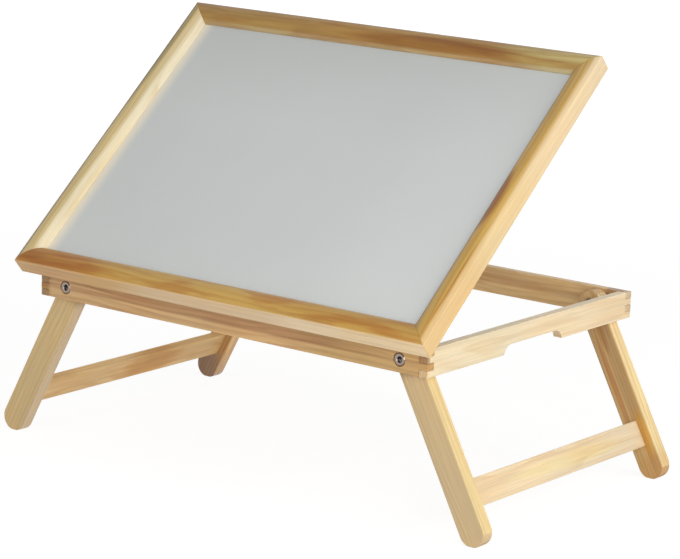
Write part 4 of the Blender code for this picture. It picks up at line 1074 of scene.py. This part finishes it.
BRIGHT_STEEL = SteelFinish(srgb(190, 190, 192), srgb(160, 160, 162), roughness=0.32)
NYLON = MouldedFinish(srgb(232, 230, 222), srgb(222, 219, 208), 0.42)
RUBBER = MouldedFinish(srgb(34, 34, 35), srgb(24, 24, 25), 0.72)
HARDBOARD = FibreboardFinish(srgb(152, 116, 80), srgb(116, 82, 54))


# Sub-assemblies.

def board_material(node: str, place: Matrix) -> bpy.types.Material:
    """Make the material of a timber from its own board, with the grain along the placement's X."""
    finish, board = BOARDS[node]
    return finish.material(node, place, board)


def grain_place(node: str, turn: Matrix, along: str) -> Matrix:
    """Place a timber's grain: X along its length, Z out of its wide face, from its box's middle.

    Args:
        node: The CAD node's name.
        turn: The placement whose axes the timber follows.
        along: Which of those axes are the length, the width and the thickness, such as "xzy".

    Returns:
        The grain's placement.
    """
    low, high = extent(node, turn)
    columns = [turn.to_3x3().col["xyz".index(letter)].normalized() for letter in along]
    if columns[0].cross(columns[1]).dot(columns[2]) < 0.0:
        columns[2] = -columns[2]
    middle = turn @ Vector((low + high) / 2)
    return Matrix.Translation(middle) @ Matrix(columns).transposed().to_4x4()


@dataclass
class Assembly:
    """What each sub-assembly shares: the body its pieces ride on, and how they are dressed."""

    body: str

    def adopt(self, piece: Piece, material: bpy.types.Material, slot: str, *nodes: str) -> None:
        """Dress a new piece, put it on its body and let it stand for its CAD nodes.

        Args:
            piece: The new piece.
            material: Its material.
            slot: The record's material slot; not used.
            nodes: The CAD nodes that it stands for.
        """
        piece.data.materials.clear()
        piece.data.materials.append(material)
        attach(piece, self.body)
        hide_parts(*nodes)
        LOG.info("%s rides on %s and stands for %s", piece.name, self.body, ", ".join(nodes))

    def ease_timber(self, node: str, ease: float, turn: Matrix, along: str, slot: str) -> None:
        """Build a timber as a refined copy of its CAD node, and dress it in its own board."""
        timber = refined_copy(node, ease)
        self.adopt(timber, board_material(node, grain_place(node, turn, along)), slot, node)

    def dress(self, node: str, material: bpy.types.Material) -> None:
        """Give a CAD node that keeps its own shape a better material.

        Args:
            node: The CAD node's name.
            material: Its material.
        """
        for held in frame["nodes"][node].material_slots:
            held.link = "OBJECT"
            held.material = material
        LOG.info("%s keeps its shape and wears %s", node, material.name)


@dataclass
class BaseFrame(Assembly):
    """The four rails with their box joints, the notched block and its dowels."""

    body: str = "base"
    ease: float = 0.00045

    def build(self) -> None:
        """Build and dress the rails, the block and its dowels."""
        level = Matrix.Identity(4)
        for end in ENDS:
            self.ease_timber(f"{end}_rail", self.ease, level, "xzy", "pine_rails")
        for side in SIDES:
            self.ease_timber(f"{side}_side_rail", self.ease, level, "yzx", "pine_rails")
        self.ease_timber("prop_notch_block", self.ease, level, "xyz", "pine_prop")
        for side in SIDES:
            node = f"notch_block_{side}_dowel"
            self.dress(node, board_material(node, grain_place(node, level, "yxz")))


@dataclass
class PivotHardware(Assembly):
    """A connector bolt, a sleeve nut and a washer at each leg pivot."""

    body: str = "base"
    head_radius: float = 0.0063
    head_thickness: float = 0.0016
    head_chamfer: float = 0.0007
    shank_radius: float = 0.0032
    shank_chamfer: float = 0.0006
    nut_head_radius: float = 0.0060
    nut_head_thickness: float = 0.0015
    sleeve_radius: float = 0.0045
    thread_clearance: float = 0.0003
    socket_flats: float = 0.0050
    socket_mouth: float = 0.0034
    socket_depth: float = 0.0027
    socket_dip: float = 0.0004
    socket_round: float = 0.0002
    mouth_dish: float = 0.00012
    end_wall: float = 0.0042
    around: int = 72

    def hexagon(self) -> np.ndarray:
        """Points on the socket's hexagon. Its radius is half the flats over the cosine of the angle
        from the nearest flat's middle, which repeats every 60 degrees.

        Returns:
            The radius at each step round the axis.
        """
        turn = bearings(self.around)
        sixth = math.pi / 3
        return self.socket_flats / 2 / np.cos((turn + sixth / 2) % sixth - sixth / 2)

    def head_start(self, rim: float) -> list[tuple]:
        """The socket and the head's face, from the socket's floor out to the rim.

        Args:
            rim: The head's radius.

        Returns:
            Pairs of radius and height, with the face at height zero and the axis into the piece.
        """
        hexagon, mouth, depth = self.hexagon(), self.socket_mouth, self.socket_depth
        return [
            (hexagon * 0.55, depth + self.socket_dip),
            (hexagon * 0.96, depth),
            (hexagon, depth - self.socket_round),
            (hexagon, mouth - self.socket_flats / 2),
            (mouth, self.mouth_dish),
            (mouth + self.socket_round, 0.0),
            (rim - self.head_chamfer, 0.0),
            (rim, self.head_chamfer),
        ]

    def build(self) -> None:
        """Build and dress the hardware of all four pivots."""
        for end, outward in zip(ENDS, (-1.0, 1.0)):
            for side in SIDES:
                self.build_bolt(f"{end}_{side}_pivot_bolt", outward)
                self.build_nut(f"{end}_{side}_sleeve_nut", outward)
                node = f"{end}_{side}_pivot_washer"
                self.dress(node, NYLON.material(node, grain_place(node, Matrix.Identity(4), "xzy")))

    def axis_place(self, node: str, face_side: float) -> tuple[Matrix, float]:
        """Place a piece on its pivot, with its face at zero and its Z axis into the piece.

        Args:
            node: The CAD node's name.
            face_side: -1 if the piece's face looks along -Y, and 1 if it looks along +Y.

        Returns:
            The placement and the piece's length.
        """
        low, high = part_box(node)
        middle = (low + high) / 2
        face = Vector((middle.x, high.y if face_side > 0 else low.y, middle.z))
        turn = Matrix.Rotation(face_side * math.pi / 2, 4, "X")
        return Matrix.Translation(face) @ turn, high.y - low.y

    def adopt_turned(
        self, node: str, place: Matrix, profile: list[tuple], steel: SteelFinish
    ) -> None:
        """Turn a piece from its profile, with its fine edges sharp, and dress it.

        Args:
            node: The CAD node's name.
            place: The piece's placement, with its Z axis as the profile's axis.
            profile: Pairs of radius and height.
            steel: The piece's finish.
        """
        rings = moved(turned(profile, self.around), place)
        piece = ring_mesh(f"{node}_turned", rings, sharp_from=FINE_SHARP_FROM)
        self.adopt(piece, steel.material(node, place), "zinc_steel", node)

    def build_bolt(self, node: str, outward: float) -> None:
        """Build a connector bolt.

        Args:
            node: The CAD node's name.
            outward: -1 on the front rail and 1 on the rear one.
        """
        place, length = self.axis_place(node, outward)
        profile = self.head_start(self.head_radius)
        profile += [
            (self.head_radius, self.head_thickness),
            (self.shank_radius, self.head_thickness),
            (self.shank_radius, length - self.shank_chamfer),
            (self.shank_radius - self.shank_chamfer, length),
        ]
        self.adopt_turned(node, place, profile, ZINC)

    def build_nut(self, node: str, outward: float) -> None:
        """Build a sleeve nut, whose head lies on the leg's inner face.

        Args:
            node: The CAD node's name.
            outward: -1 on the front rail and 1 on the rear one.
        """
        place, length = self.axis_place(node, -outward)
        bore = self.shank_radius + self.thread_clearance
        profile = self.head_start(self.nut_head_radius)
        profile += [
            (self.nut_head_radius, self.nut_head_thickness),
            (self.sleeve_radius, self.nut_head_thickness),
            (self.sleeve_radius, length),
            (bore, length),
            (bore, self.end_wall),
        ]
        self.adopt_turned(node, place, profile, DULL_STEEL)


@dataclass
class LegPair(Assembly):
    """Two legs and the stretcher between them, which fold together."""

    word: str
    side: int
    arris: float = 0.0010
    bore_radius: float = 0.0048
    foot_half_flat: float = 0.004
    stretcher_arris: float = 0.0008
    stretcher_rim: float = 0.0003
    joint_gap: float = 0.0001
    arc_steps: int = 40
    side_steps: int = 10

    def place(self) -> Matrix:
        """The pair's own placement: its origin on the pivot, and -Z down along the legs.

        The legs lie level at the fold's limit, so the splay is what the limit is over 90 degrees.

        Returns:
            The placement.
        """
        fold = joint(f"{self.word}_leg_fold")
        splay = math.radians(max(fold["range_deg"]) - 90.0)
        return Matrix.Translation(fold["pos_m"]) @ Matrix.Rotation(-self.side * splay, 4, "Y")

    def outline(self, radius: float, reach: float, inset: float) -> np.ndarray:
        """A bar with half-round ends about the pivot and the foot's centre, and straight sides.

        Args:
            radius: The half circles' radius.
            reach: The distance between their centres.
            inset: How far the outline is shrunk.

        Returns:
            Points across and along the leg.
        """
        small = radius - inset
        top = arc((0.0, 0.0), small, 0.0, math.pi, self.arc_steps)
        bottom = arc((0.0, -reach), small, math.pi, 2 * math.pi, self.arc_steps)
        down = np.linspace(top[-1], bottom[0], self.side_steps)[1:-1]
        back = np.linspace(bottom[-1], top[0], self.side_steps)[1:-1]
        return np.concatenate((top, down, bottom, back))

    def leg_rings(self, node: str) -> np.ndarray:
        """The leg's skin as rings: the bore's rim, the near face, its eased edge and so on back.

        A ring of the bore has the same bearings from the pivot as the outline's points have, so
        that the faces between them don't cross. Every ring is held inside the CAD leg's own box,
        which makes the foot's flat.

        Args:
            node: The leg's CAD node.

        Returns:
            The rings, in the model's frame.
        """
        place = self.place()
        low, high = extent(node, place)
        lowest, highest = (np.array(corner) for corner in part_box(node))
        lowest[1] -= self.arris
        highest[1] += self.arris
        radius = (high[0] - low[0]) / 2
        reach = self.foot_reach(radius, place)
        whole = self.outline(radius, reach, 0.0)
        bearing = np.arctan2(whole[:, 1], whole[:, 0])
        bore = self.bore_radius * np.column_stack((np.cos(bearing), np.sin(bearing)))
        steps = ease_steps(self.arris, RIM_CHORDS)
        levels = [(low[1] + back, inset) for inset, back in steps]
        levels += [(high[1] - back, inset) for inset, back in steps[::-1]]
        layers = [(self.outline(radius, reach, inset), level, inset) for level, inset in levels]
        rings = []
        for points, level, inset in ((bore, low[1], 0.0), *layers, (bore, high[1], 0.0)):
            ring = moved(upright(points, level), place)
            rings.append(np.clip(ring, lowest + inset, highest - inset))
        return np.array(rings)

    def foot_reach(self, radius: float, place: Matrix) -> float:
        """The distance from the pivot to the foot's centre.

        The CAD leg stands on a flat, which puts the foot's centre at the root of the radius
        squared less half the flat squared, over the floor.

        Args:
            radius: The foot's radius.
            place: The pair's placement.

        Returns:
            The distance.
        """
        height = math.sqrt(radius**2 - self.foot_half_flat**2)
        fall = place.to_3x3().col[2].z
        return (place.to_translation().z - height) / fall

    def build(self) -> None:
        """Build and dress both legs and the stretcher."""
        place = self.place()
        for end in ENDS:
            node = f"{self.word}_{end}_leg"
            leg = ring_mesh(f"{node}_eased", self.leg_rings(node), joined=True)
            grain = grain_place(node, place, "zxy")
            self.adopt(leg, board_material(node, grain), "pine_legs", node)
        self.build_stretcher(place)

    def build_stretcher(self, place: Matrix) -> None:
        """Build the stretcher: a rounded rectangle carried from leg to leg.

        Args:
            place: The pair's placement.
        """
        node = f"{self.word}_stretcher"
        low, high = extent(node, place)
        reach = extent(f"{self.word}_rear_leg", place)[0][1] - self.joint_gap
        near = extent(f"{self.word}_front_leg", place)[1][1] + self.joint_gap
        edge = self.stretcher_arris
        left, right, bottom, top = low[0] + edge, high[0] - edge, low[2] + edge, high[2] - edge
        corners = []
        for turn, spot in enumerate(((right, top), (left, top), (left, bottom), (right, bottom))):
            start = turn * RIGHT_ANGLE
            corners.append(arc(spot, edge, start, start + RIGHT_ANGLE, RIM_CHORDS))
        section = np.concatenate(corners)
        steps = ease_steps(self.stretcher_rim, EASE_CHORDS)
        stations = [(inset, near + back) for inset, back in steps]
        stations += [(inset, reach - back) for inset, back in steps[::-1]]
        rings = [upright(inset_outline(section, inset), level) for inset, level in stations]
        bar = ring_mesh(f"{node}_eased", moved(np.array(rings), place))
        self.adopt(bar, board_material(node, grain_place(node, place, "yzx")), "pine_legs", node)


@dataclass
class TrayTop(Assembly):
    """The tilting top: four mitred mouldings round the panel, the batten, nails and bumpers."""

    body: str = "tray"
    outer_height: float = 0.0196
    crown_slope: float = math.radians(36.0)
    top_round: float = 0.0022
    foot_round: float = 0.0011
    inner_round: float = 0.0010
    lip: float = 0.0008
    lip_gap: float = 0.0002
    groove_depth: float = 0.0060
    mitre_gap: float = 0.00008
    mitre_ease: float = 0.00018
    crown_steps: int = 28
    timber_ease: float = 0.0004
    pin_rim: float = 0.0005
    bumper_rim: float = 0.0009

    def place(self) -> Matrix:
        """The top's own placement: its origin on the hinge axis, Y up its slope, Z off the panel.

        The closed top lies flat, so the slope is the joint's whole range.

        Returns:
            The placement.
        """
        tilt = joint("tray_tilt")
        slope = math.radians(-min(tilt["range_deg"]))
        return Matrix.Translation(tilt["pos_m"]) @ Matrix.Rotation(slope, 4, "X")

    def section(self) -> np.ndarray:
        """The moulding's section: distance in from the outer edge and height over the hinge axis.

        The outer face is upright. A small round leads into the crown, one arc that rises at the
        crown's slope and falls to the lip over the panel. Half its sweep is that slope plus its
        chord's fall, and its radius is half the chord over the sine of that. A groove holds the
        panel.

        Returns:
            The closed outline, counter-clockwise.
        """
        place = self.place()
        low, high = extent("front_moulding", place)
        board_low = extent("panel_board", place)[0][2]
        panel_top = extent("panel_laminate", place)[1][2]
        base, top = low[2], low[2] + self.outer_height
        width = high[1] - low[1]
        slope = self.crown_slope
        crest = RIGHT_ANGLE + slope
        shoulder = (self.top_round, top - self.top_round)
        over = arc(shoulder, self.top_round, crest, 2 * RIGHT_ANGLE, steps=6)
        start_in, start_up = over[0]
        run = width - start_in
        drop = start_up - panel_top - self.lip
        half_sweep = slope + math.atan2(drop, run)
        radius = math.hypot(run, drop) / 2 / math.sin(half_sweep)
        centre = (start_in + radius * math.sin(slope), start_up - radius * math.cos(slope))
        crown = arc(centre, radius, crest - 2 * half_sweep, crest, self.crown_steps)
        toe = (self.foot_round, base + self.foot_round)
        foot = arc(toe, self.foot_round, 2 * RIGHT_ANGLE, 3 * RIGHT_ANGLE, steps=5)
        heel = (width - self.inner_round, base + self.inner_round)
        inner = arc(heel, self.inner_round, -RIGHT_ANGLE, 0.0, steps=3)
        back = width - self.groove_depth
        below, above = board_low - self.lip_gap, panel_top + self.lip_gap
        groove = np.array(((width, below), (back, below), (back, above), (width, above)))
        return np.concatenate((inner, groove, crown, over[1:], foot))

    def bar_rings(self, half_length: float, section: np.ndarray) -> np.ndarray:
        """A bar with mitred ends, where a point's reach falls by its distance in from the outside.

        Args:
            half_length: Half the length of the outer edge.
            section: The bar's section.

        Returns:
            The rings along X, with Y in from the outer edge and Z up.
        """
        steps = ease_steps(self.mitre_ease, EASE_CHORDS)
        rings = []
        for sign, order in ((-1.0, steps), (1.0, steps[::-1])):
            for inset, back in order:
                shrunk = inset_outline(section, inset)
                reach = half_length - shrunk[:, 0] - self.mitre_gap - back
                rings.append(np.column_stack((sign * reach, shrunk)))
        return np.array(rings)

    def build(self) -> None:
        """Build and dress everything on the top."""
        place = self.place()
        section = self.section()
        low = extent("front_moulding", place)[0]
        high = extent("rear_moulding", place)[1]
        half_width = high[0]
        middle = (low[1] + high[1]) / 2
        half_depth = (high[1] - low[1]) / 2
        sides = (
            ("front", half_width, (0.0, low[1]), 0.0),
            ("rear", half_width, (0.0, high[1]), 2 * RIGHT_ANGLE),
            ("left", half_depth, (-half_width, middle), -RIGHT_ANGLE),
            ("right", half_depth, (half_width, middle), RIGHT_ANGLE),
        )
        for word, half_length, (x, y), turn in sides:
            spot = place @ Matrix.Translation((x, y, 0.0)) @ Matrix.Rotation(turn, 4, "Z")
            node = f"{word}_moulding"
            bar = ring_mesh(f"{node}_crowned", moved(self.bar_rings(half_length, section), spot))
            self.adopt(bar, board_material(node, spot), "pine_mouldings", node)
        self.dress("panel_laminate", PALE_LAMINATE.material("panel_laminate", place))
        self.dress("panel_board", HARDBOARD.material("panel_board", place))
        for end in ENDS:
            for side in SIDES:
                node = f"{end}_{side}_mitre_nail"
                self.dress(node, BRIGHT_STEEL.material(node, place))
        self.build_underside(place)

    def build_underside(self, place: Matrix) -> None:
        """Build the batten, the lugs, the prop's pin and the bumpers.

        Args:
            place: The top's placement.
        """
        timbers = (("prop_batten", "xyz"), ("prop_left_lug", "yzx"), ("prop_right_lug", "yzx"))
        for node, along in timbers:
            self.ease_timber(node, self.timber_ease, place, along, "pine_prop")
        node = "prop_pin"
        low, high = extent(node, place)
        middle = (low + high) / 2
        ends = [place @ Vector((x, middle[1], middle[2])) for x in (low[0], high[0])]
        pin = eased_rod(f"{node}_turned", (high[2] - low[2]) / 2, *ends, self.pin_rim)
        self.adopt(pin, ZINC.material(node, grain_place(node, place, "xyz")), "zinc_steel", node)
        for side in SIDES:
            node = f"{side}_bumper"
            low, high = extent(node, place)
            middle = (low + high) / 2
            ends = [place @ Vector((middle[0], middle[1], z)) for z in (high[2], low[2])]
            bumper = eased_rod(f"{node}_moulded", (high[0] - low[0]) / 2, *ends, self.bumper_rim)
            self.adopt(bumper, RUBBER.material(node, place), "black_rubber", node)


@dataclass
class Hinges(Assembly):
    """Two butt hinges: lower leaves and pins on the base, upper leaves on the top."""

    body: str = "base"
    leaf_ease: float = 0.00012
    recess_width: float = 0.00045
    recess_reach: float = 0.0013
    recess_depth: float = 0.0009
    recess_flank: float = 0.5
    recess_end: float = 0.4
    screw_rim: float = 0.00008
    shank_share: float = 0.55
    point_share: float = 0.05
    hub_share: float = 0.03
    ring_count: int = 14
    around: int = 48

    def build(self) -> None:
        """Build and dress both hinges."""
        hinges = ("left_hinge", "right_hinge")
        level = Matrix.Translation(joint("tray_tilt")["pos_m"])
        for word, body, place in (("lower", "base", level), ("upper", "tray", TrayTop().place())):
            self.body = body
            for hinge in hinges:
                node = f"{hinge}_{word}_leaf"
                leaf = refined_copy(node, self.leaf_ease)
                self.adopt(leaf, ZINC.material(node, place), "zinc_steel", node)
                for side in SIDES:
                    self.build_screw(f"{hinge}_{word}_{side}_screw", place, word == "lower")
        for hinge in hinges:
            self.dress(f"{hinge}_pin", BRIGHT_STEEL.material(f"{hinge}_pin", level))

    def build_screw(self, node: str, place: Matrix, points_down: bool) -> None:
        """Build a countersunk screw with a cross recess.

        The head's face is a polar grid. Its depth is the recess depth times a smooth mask that is
        one where the point is near either arm of the cross and inside its reach.

        Args:
            node: The screw's CAD node.
            place: The placement of the leaf that it holds.
            points_down: Whether its point lies below its head.
        """
        low, high = extent(node, place)
        middle = (low + high) / 2
        radius = (high[0] - low[0]) / 2
        length = high[2] - low[2]
        face = high[2] if points_down else low[2]
        flip = Matrix.Rotation(math.pi, 4, "X") if points_down else Matrix.Identity(4)
        spot = place @ Matrix.Translation((middle[0], middle[1], face)) @ flip
        turn = bearings(self.around)
        spread = np.linspace(self.hub_share, 1.0, self.ring_count)[:, None] * radius
        x, y = spread * np.cos(turn), spread * np.sin(turn)
        nearest = np.minimum(np.abs(x), np.abs(y))
        flank, end = self.recess_flank * self.recess_width, self.recess_end * self.recess_reach
        arm = np.clip((self.recess_width - nearest) / flank, 0.0, 1.0)
        inside = np.clip((self.recess_reach - spread) / end, 0.0, 1.0)
        head = np.stack((x, y, self.recess_depth * arm * inside), axis=-1)
        shank = self.shank_share * radius
        cone = radius - shank
        tip = (self.point_share * shank, length)
        profile = [(radius, self.screw_rim), (shank, cone), (shank, length - 2 * shank), tip]
        rings = np.concatenate((head, turned(profile, self.around)))
        screw = ring_mesh(f"{node}_turned", moved(rings, spot))
        self.adopt(screw, ZINC.material(node, spot), "zinc_steel", node)


@dataclass
class Prop(Assembly):
    """The folding prop: two arms and the foot dowel between them."""

    body: str = "prop"
    ease: float = 0.0005

    def build(self) -> None:
        """Build and dress the prop."""
        pivot = Vector(joint("prop_fold")["pos_m"])
        node = "prop_foot_dowel"
        low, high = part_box(node)
        foot = (low + high) / 2
        run = (foot - pivot).normalized()
        lean = Matrix.Translation(pivot) @ Matrix.Rotation(-math.atan2(-run.y, -run.z), 4, "X")
        for side in SIDES:
            self.ease_timber(f"prop_{side}_arm", self.ease, lean, "zyx", "pine_prop")
        ends = [Vector((x, foot.y, foot.z)) for x in (low.x, high.x)]
        dowel = eased_rod(f"{node}_turned", (high.z - low.z) / 2, *ends, self.ease)
        grain = grain_place(node, Matrix.Identity(4), "xyz")
        self.adopt(dowel, board_material(node, grain), "beech_dowels", node)


# Studio.

def direction(azimuth: float, elevation: float) -> Vector:
    """The way from the object to something that stands round it.

    Args:
        azimuth: How far round it stands from the front, in degrees.
        elevation: How high it stands, in degrees.

    Returns:
        A vector of length one.
    """
    turn, rise = math.radians(azimuth), math.radians(elevation)
    level = math.cos(rise)
    return Vector((math.sin(turn) * level, -math.cos(turn) * level, math.sin(rise)))


@dataclass(frozen=True)
class Softbox:
    """One area lamp: where it stands, how far off, its size and its power."""

    name: str
    azimuth: float
    elevation: float
    distance: float
    size: float
    power: float

    def build(self, target: Vector) -> None:
        """Add the lamp.

        Args:
            target: The point that it shines at.
        """
        away = direction(self.azimuth, self.elevation)
        lamp = bpy.data.lights.new(self.name, "AREA")
        lamp.shape = "SQUARE"
        lamp.size = self.size
        lamp.energy = self.power
        stand = bpy.data.objects.new(self.name, lamp)
        stand.location = target + away * self.distance
        stand.rotation_mode = "QUATERNION"
        stand.rotation_quaternion = (-away).to_track_quat("-Z", "Y")
        bpy.context.scene.collection.objects.link(stand)


@dataclass
class Studio:
    """A white floor, a white world, soft lamps and the photograph's camera."""

    azimuth: float = 37.51
    elevation: float = 12.56
    roll: float = 1.76
    camera_spot: tuple[float, float, float] = (1.82849, -2.36114, 0.85278)
    focal_pixels: float = 2978.56
    image_width: float = 680.0
    sensor_width: float = 36.0
    clip_start: float = 0.05
    clip_end: float = 100.0
    floor_half: float = 15.0
    floor_level: float = -0.0002
    near_glow: float = 0.89
    near_reach: float = 0.6
    far_glow: float = 1.02
    far_reach: float = 3.0
    floor_shade: float = 0.22
    floor_bounce: float = 0.85
    ambient: float = 0.29
    lamps: tuple[Softbox, ...] = (
        Softbox("key_right", 98.0, 16.0, 2.4, 1.5, 20.8),
        Softbox("top", 20.0, 74.0, 2.4, 1.6, 6.0),
        Softbox("fill_front", 8.0, 9.0, 2.0, 1.4, 7.0),
        Softbox("low_right", 50.0, 9.0, 1.4, 0.6, 5.5),
    )

    def build(self) -> None:
        """Build the studio round the object."""
        low, high = CAD_BOX
        target = (low + high) / 2
        for lamp in self.lamps:
            lamp.build(target)
        self.build_world()
        self.build_floor()
        self.build_camera()
        bpy.context.scene.view_settings.view_transform = "Standard"

    def seen_directly(self, nodes: Nodes) -> Socket:
        """One for camera, glossy and transmission rays, and zero for those that light the object.

        Args:
            nodes: The tree that it is built in.

        Returns:
            The share.
        """
        path = nodes.add("ShaderNodeLightPath").outputs
        share = nodes.math("MAXIMUM", path["Is Camera Ray"], path["Is Glossy Ray"])
        return nodes.math("MAXIMUM", share, path["Is Transmission Ray"])

    def build_world(self) -> None:
        """Make the world white to the eye and a plain soft light to the object."""
        world = bpy.data.worlds.new("studio")
        world.use_nodes = True
        bpy.context.scene.world = world
        nodes = Nodes(world.node_tree)
        seen = self.seen_directly(nodes)
        strength = nodes.math("MULTIPLY_ADD", seen, 1.0 - self.ambient, self.ambient)
        sky = world.node_tree.nodes["Background"].inputs
        nodes.fill(sky, color=(1.0, 1.0, 1.0), strength=strength)

    def build_floor(self) -> None:
        """Lay a plain pale floor that keeps the object's soft shadow."""
        half, level = self.floor_half, self.floor_level
        spots = ((-half, -half), (half, -half), (half, half), (-half, half))
        corners = np.array([(x, y, level) for x, y in spots])
        floor = mesh_object("floor", corners, [(0, 1, 2, 3)])
        material = bpy.data.materials.new("pale_floor")
        material.use_nodes = True
        tree = material.node_tree
        tree.nodes.remove(tree.nodes["Principled BSDF"])
        nodes = Nodes(tree)
        bounce = nodes.wired("ShaderNodeBsdfDiffuse", (self.floor_bounce,) * 3)
        shade = nodes.wired("ShaderNodeBsdfDiffuse", (self.floor_shade,) * 3)
        away = nodes.add("ShaderNodeVectorMath", operation="LENGTH")
        nodes.feed(away.inputs[0], nodes.add("ShaderNodeTexCoord").outputs["Object"])
        spread = (self.near_reach, self.far_reach, self.near_glow, self.far_glow)
        strength = nodes.ramp(away.outputs["Value"], *spread)
        glow = nodes.wired("ShaderNodeEmission", (1.0, 1.0, 1.0), strength)
        both = nodes.wired("ShaderNodeAddShader", shade, glow)
        choice = nodes.wired("ShaderNodeMixShader", self.seen_directly(nodes), bounce, both)
        nodes.feed(tree.nodes["Material Output"].inputs["Surface"], choice)
        floor.data.materials.append(material)

    def build_camera(self) -> None:
        """Stand the camera where the photograph was taken from."""
        turn, roll = math.radians(self.azimuth), math.radians(self.roll)
        back = direction(self.azimuth, self.elevation)
        level = Vector((math.cos(turn), math.sin(turn), 0.0))
        right = level * math.cos(roll) + back.cross(level) * math.sin(roll)
        lens = bpy.data.cameras.new("photograph")
        lens.sensor_width = self.sensor_width
        lens.lens = self.focal_pixels * self.sensor_width / self.image_width
        lens.clip_start = self.clip_start
        lens.clip_end = self.clip_end
        camera = bpy.data.objects.new("photograph", lens)
        axes = Matrix((right, back.cross(right), back)).transposed().to_4x4()
        camera.matrix_world = Matrix.Translation(self.camera_spot) @ axes
        bpy.context.scene.collection.objects.link(camera)
        bpy.context.scene.camera = camera


def write_sizes() -> None:
    """Bring the scene's evaluated state up to date."""
    bpy.context.view_layer.update()


def main() -> None:
    """Build the sub-assemblies in order, then the studio."""
    logging.basicConfig(level=logging.INFO, format="%(name)s: %(message)s")
    BaseFrame().build()
    PivotHardware().build()
    LegPair("left_leg_pair", "left", -1).build()
    LegPair("right_leg_pair", "right", 1).build()
    TrayTop().build()
    Hinges().build()
    Prop().build()
    Studio().build()
    write_sizes()


if __name__ == "__main__":
    main()
